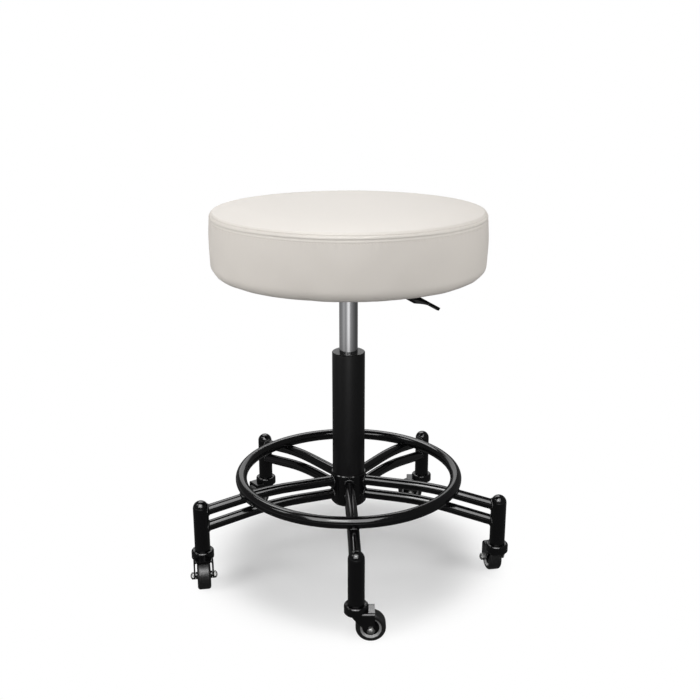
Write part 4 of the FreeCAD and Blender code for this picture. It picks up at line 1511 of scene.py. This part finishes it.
@dataclass
class Studio:
    """The set: a white floor that fades into white, lamps, cards that reflections show, and the camera."""

    # The floor, with the circle that keeps the shadow and the one where it has faded, and the fill light.
    floor_half: float = 30.0
    floor_glow: float = 0.01
    floor_white: float = 1.0
    bounce: float = 0.30
    shadow_radius: float = 0.155
    fade_radius: float = 0.268
    ambient: float = 0.55
    # The room and the mat that reflections show, with a level for each heading of the mat's stripes.
    room_half: float = 3.4
    room_height: float = 3.2
    room_grey: float = 0.11
    mat_height: float = 2 * MM
    mat_dark: float = 0.08
    mat_radius: float = 1.0
    stripe_radius: float = 1.15
    stripe_level: float = 1.42
    stripes: tuple[Point, ...] = ((-90, 0.22), (-60, 0.42), (-33, 0.28), (-20, 0.48), (-6, 0.95), (8, 0.95),
                                  (24, 0.30), (60, 0.14), (100, 0.06), (180, 0.12), (270, 0.22))
    # The camera.
    lens: float = 50.06
    eye: Spot = (0.0, -1.4094, 0.7744)
    pitch: float = 73.04
    heading: float = -0.09
    # The panels, each by its place, aim, width, height and level.
    lamps: tuple[Softbox, ...] = (
        Softbox("front_softbox", (-0.25, -1.35, 2.2), (0.0, 0.0, 0.3), 0.5, 0.5, 3.3),
        Softbox("left_softbox", (-1.9, -1.1, 1.0), (0.0, 0.0, 0.5), 1.2, 1.6, 3.9),
        Softbox("right_softbox", (1.9, -1.1, 1.0), (0.0, 0.0, 0.5), 1.2, 1.6, 3.2),
        Softbox("overhead_softbox", (0.0, 0.05, 6.0), (0.0, 0.05, 0.0), 0.7, 0.7, 33.0),
    )
    cards: tuple[Card, ...] = (
        Card("bright_card", (-0.15, -1.15, 1.75), (0.0, 0.0, 0.12), 2.0, 1.9, 5.6),
        Card("hot_card", (-0.24, -1.12, 1.71), (0.0, 0.0, 0.12), 0.5, 0.5, 18.0),
        Card("back_card", (-0.3, 3.2, 1.5), (0.0, 0.0, 0.12), 2.6, 1.2, 1.35),
        Card("ceiling_card", (-0.4, 1.9, 2.9), (0.0, 0.0, 0.12), 2.4, 1.6, 5.0),
        Card("caster_card", (0.1, 3.2, 2.19), (0.02, -0.24, 0.05), 0.22, 0.24, 9.0),
        Card("left_card", (-1.9, -0.2, 2.1), (0.0, 0.0, 0.12), 0.6, 0.6, 5.0),
    )

    @staticmethod
    def _seen(graph: Graph) -> Signal:
        """A mask of what the camera sees, straight, in a reflection or through glass.

        Args:
            graph: The graph to build it in.

        Returns:
            1 where it is seen and 0 elsewhere.
        """
        names = ("Is Camera Ray", "Is Glossy Ray", "Is Transmission Ray")
        straight, reflected, through = [graph.add("ShaderNodeLightPath", output=name) for name in names]
        return straight | reflected | through

    @staticmethod
    def _distance(graph: Graph) -> Signal:
        """The distance from the column's axis."""
        spot = graph.add("ShaderNodeTexCoord", output="Object")
        return graph.add("ShaderNodeVectorMath", {"operation": "LENGTH"}, {0: spot}, "Value")

    @staticmethod
    def _between(graph: Graph, value: Signal, start: float, end: float) -> Signal:
        """A smooth step from 0 at the start to 1 at the end."""
        inputs = {"Value": value, "From Min": start, "From Max": end}
        return graph.add("ShaderNodeMapRange", {"interpolation_type": "SMOOTHSTEP"}, inputs, "Result")

    def _world(self) -> None:
        """White where it is seen, and a plain soft fill for the rest."""
        world = bpy.data.worlds.new("studio_white")
        bpy.context.scene.world = world
        world.use_nodes = True
        graph = Graph(world.node_tree)
        sockets = world.node_tree.nodes["Background"].inputs
        strength = self.ambient + (1.0 - self.ambient) * self._seen(graph)
        graph.feed(sockets["Color"], (1.0, 1.0, 1.0, 1.0))
        graph.feed(sockets["Strength"], strength)

    def _floor_material(self) -> bpy.types.Material:
        """White that keeps the stool's shadow and fades into the background.

        Returns:
            The material.
        """
        material, graph = bare_material("studio_floor")
        fade = self._between(graph, self._distance(graph), self.shadow_radius, self.fade_radius)
        matt = graph.add("ShaderNodeBsdfDiffuse", None, {"Color": (*[self.floor_white] * 3, 1.0)})
        glow = graph.add("ShaderNodeEmission", None, {"Strength": self.floor_glow})
        near = graph.add("ShaderNodeAddShader", None, {0: matt, 1: glow})
        white = graph.add("ShaderNodeEmission", None, {"Strength": 1.0})
        shown = graph.add("ShaderNodeMixShader", None, {0: fade, 1: near, 2: white})
        plain = graph.add("ShaderNodeBsdfDiffuse", None, {"Color": (*[self.bounce] * 3, 1.0)})
        floor = graph.add("ShaderNodeMixShader", None, {0: self._seen(graph), 1: plain, 2: shown})
        clear = graph.add("ShaderNodeBsdfTransparent")
        under = graph.add("ShaderNodeNewGeometry", output="Backfacing")
        both = graph.add("ShaderNodeMixShader", None, {0: under, 1: floor, 2: clear})
        graph.feed(material.node_tree.nodes["Material Output"].inputs["Surface"], both)
        return material

    def _mat_glow(self, graph: Graph) -> Signal:
        """Dark near the stool, then soft stripes round it for the chrome.

        Args:
            graph: The mat's graph.

        Returns:
            The strength of its glow.
        """
        spot = graph.add("ShaderNodeTexCoord", output="Object")
        turn = graph.add("ShaderNodeTexGradient", {"gradient_type": "RADIAL"}, {"Vector": spot}, "Fac")
        first = self.stripes[0][0]
        stops = [((angle - first) / 360.0, level) for angle, level in self.stripes]
        stripes = graph.add("ShaderNodeValToRGB", {"stops": stops}, {"Fac": turn})
        beyond = self._between(graph, self._distance(graph), self.mat_radius, self.stripe_radius)
        return self.mat_dark + beyond * (self.stripe_level * stripes - self.mat_dark)

    def _room(self) -> None:
        """Grey walls and ceiling and a mat on the floor, which only reflections see."""
        half, height = self.room_half, self.room_height
        box = [(x, y, z) for z in (0.0, height) for y in (-half, half) for x in (-half, half)]
        sides = [(0, 1, 5, 4), (0, 4, 6, 2), (1, 3, 7, 5), (2, 6, 7, 3), (4, 5, 7, 6)]
        mat = [(x, y, self.mat_height) for x, y, _ in (box[0], box[1], box[3], box[2])]
        grey = glow_material("grey_wall", lambda graph: self.room_grey)
        only_reflected(stage_sheet("grey_walls", box, sides, grey))
        only_reflected(stage_sheet("striped_mat", mat, [(0, 1, 2, 3)], glow_material("striped_mat", self._mat_glow)))

    def _camera(self) -> None:
        """The camera at the photograph's viewpoint."""
        data = bpy.data.cameras.new("camera")
        data.lens = self.lens
        camera = bpy.data.objects.new("camera", data)
        camera.location = self.eye
        camera.rotation_euler = (math.radians(self.pitch), 0.0, math.radians(self.heading))
        bpy.context.scene.collection.objects.link(camera)
        bpy.context.scene.camera = camera

    def build(self) -> None:
        """Sets up the studio."""
        bpy.context.scene.view_settings.view_transform = "Standard"
        self._world()
        half = self.floor_half
        corners = [(-half, -half, 0.0), (half, -half, 0.0), (half, half, 0.0), (-half, half, 0.0)]
        stage_sheet("studio_floor", corners, [(0, 1, 2, 3)], self._floor_material())
        self._room()
        for panel in (*self.lamps, *self.cards):
            panel.build()
        self._camera()


def main() -> None:
    """Builds the stool's looks and its studio, and reports each piece."""
    logging.basicConfig(level=logging.INFO, format="%(name)s: %(message)s")
    Studio().build()
    LOG.info("dressed %d pieces of the frame", dress_frame())
    seat = SeatPad.from_frame()
    pieces = [seat.build(), seat.stitch(), Underside().build(), BaseWelds().build(), *PaintedHighlightRings().build_all()]
    for piece in pieces:
        LOG.info("%s: %d faces", piece.name, len(piece.data.polygons))


if __name__ == "__main__":
    main()
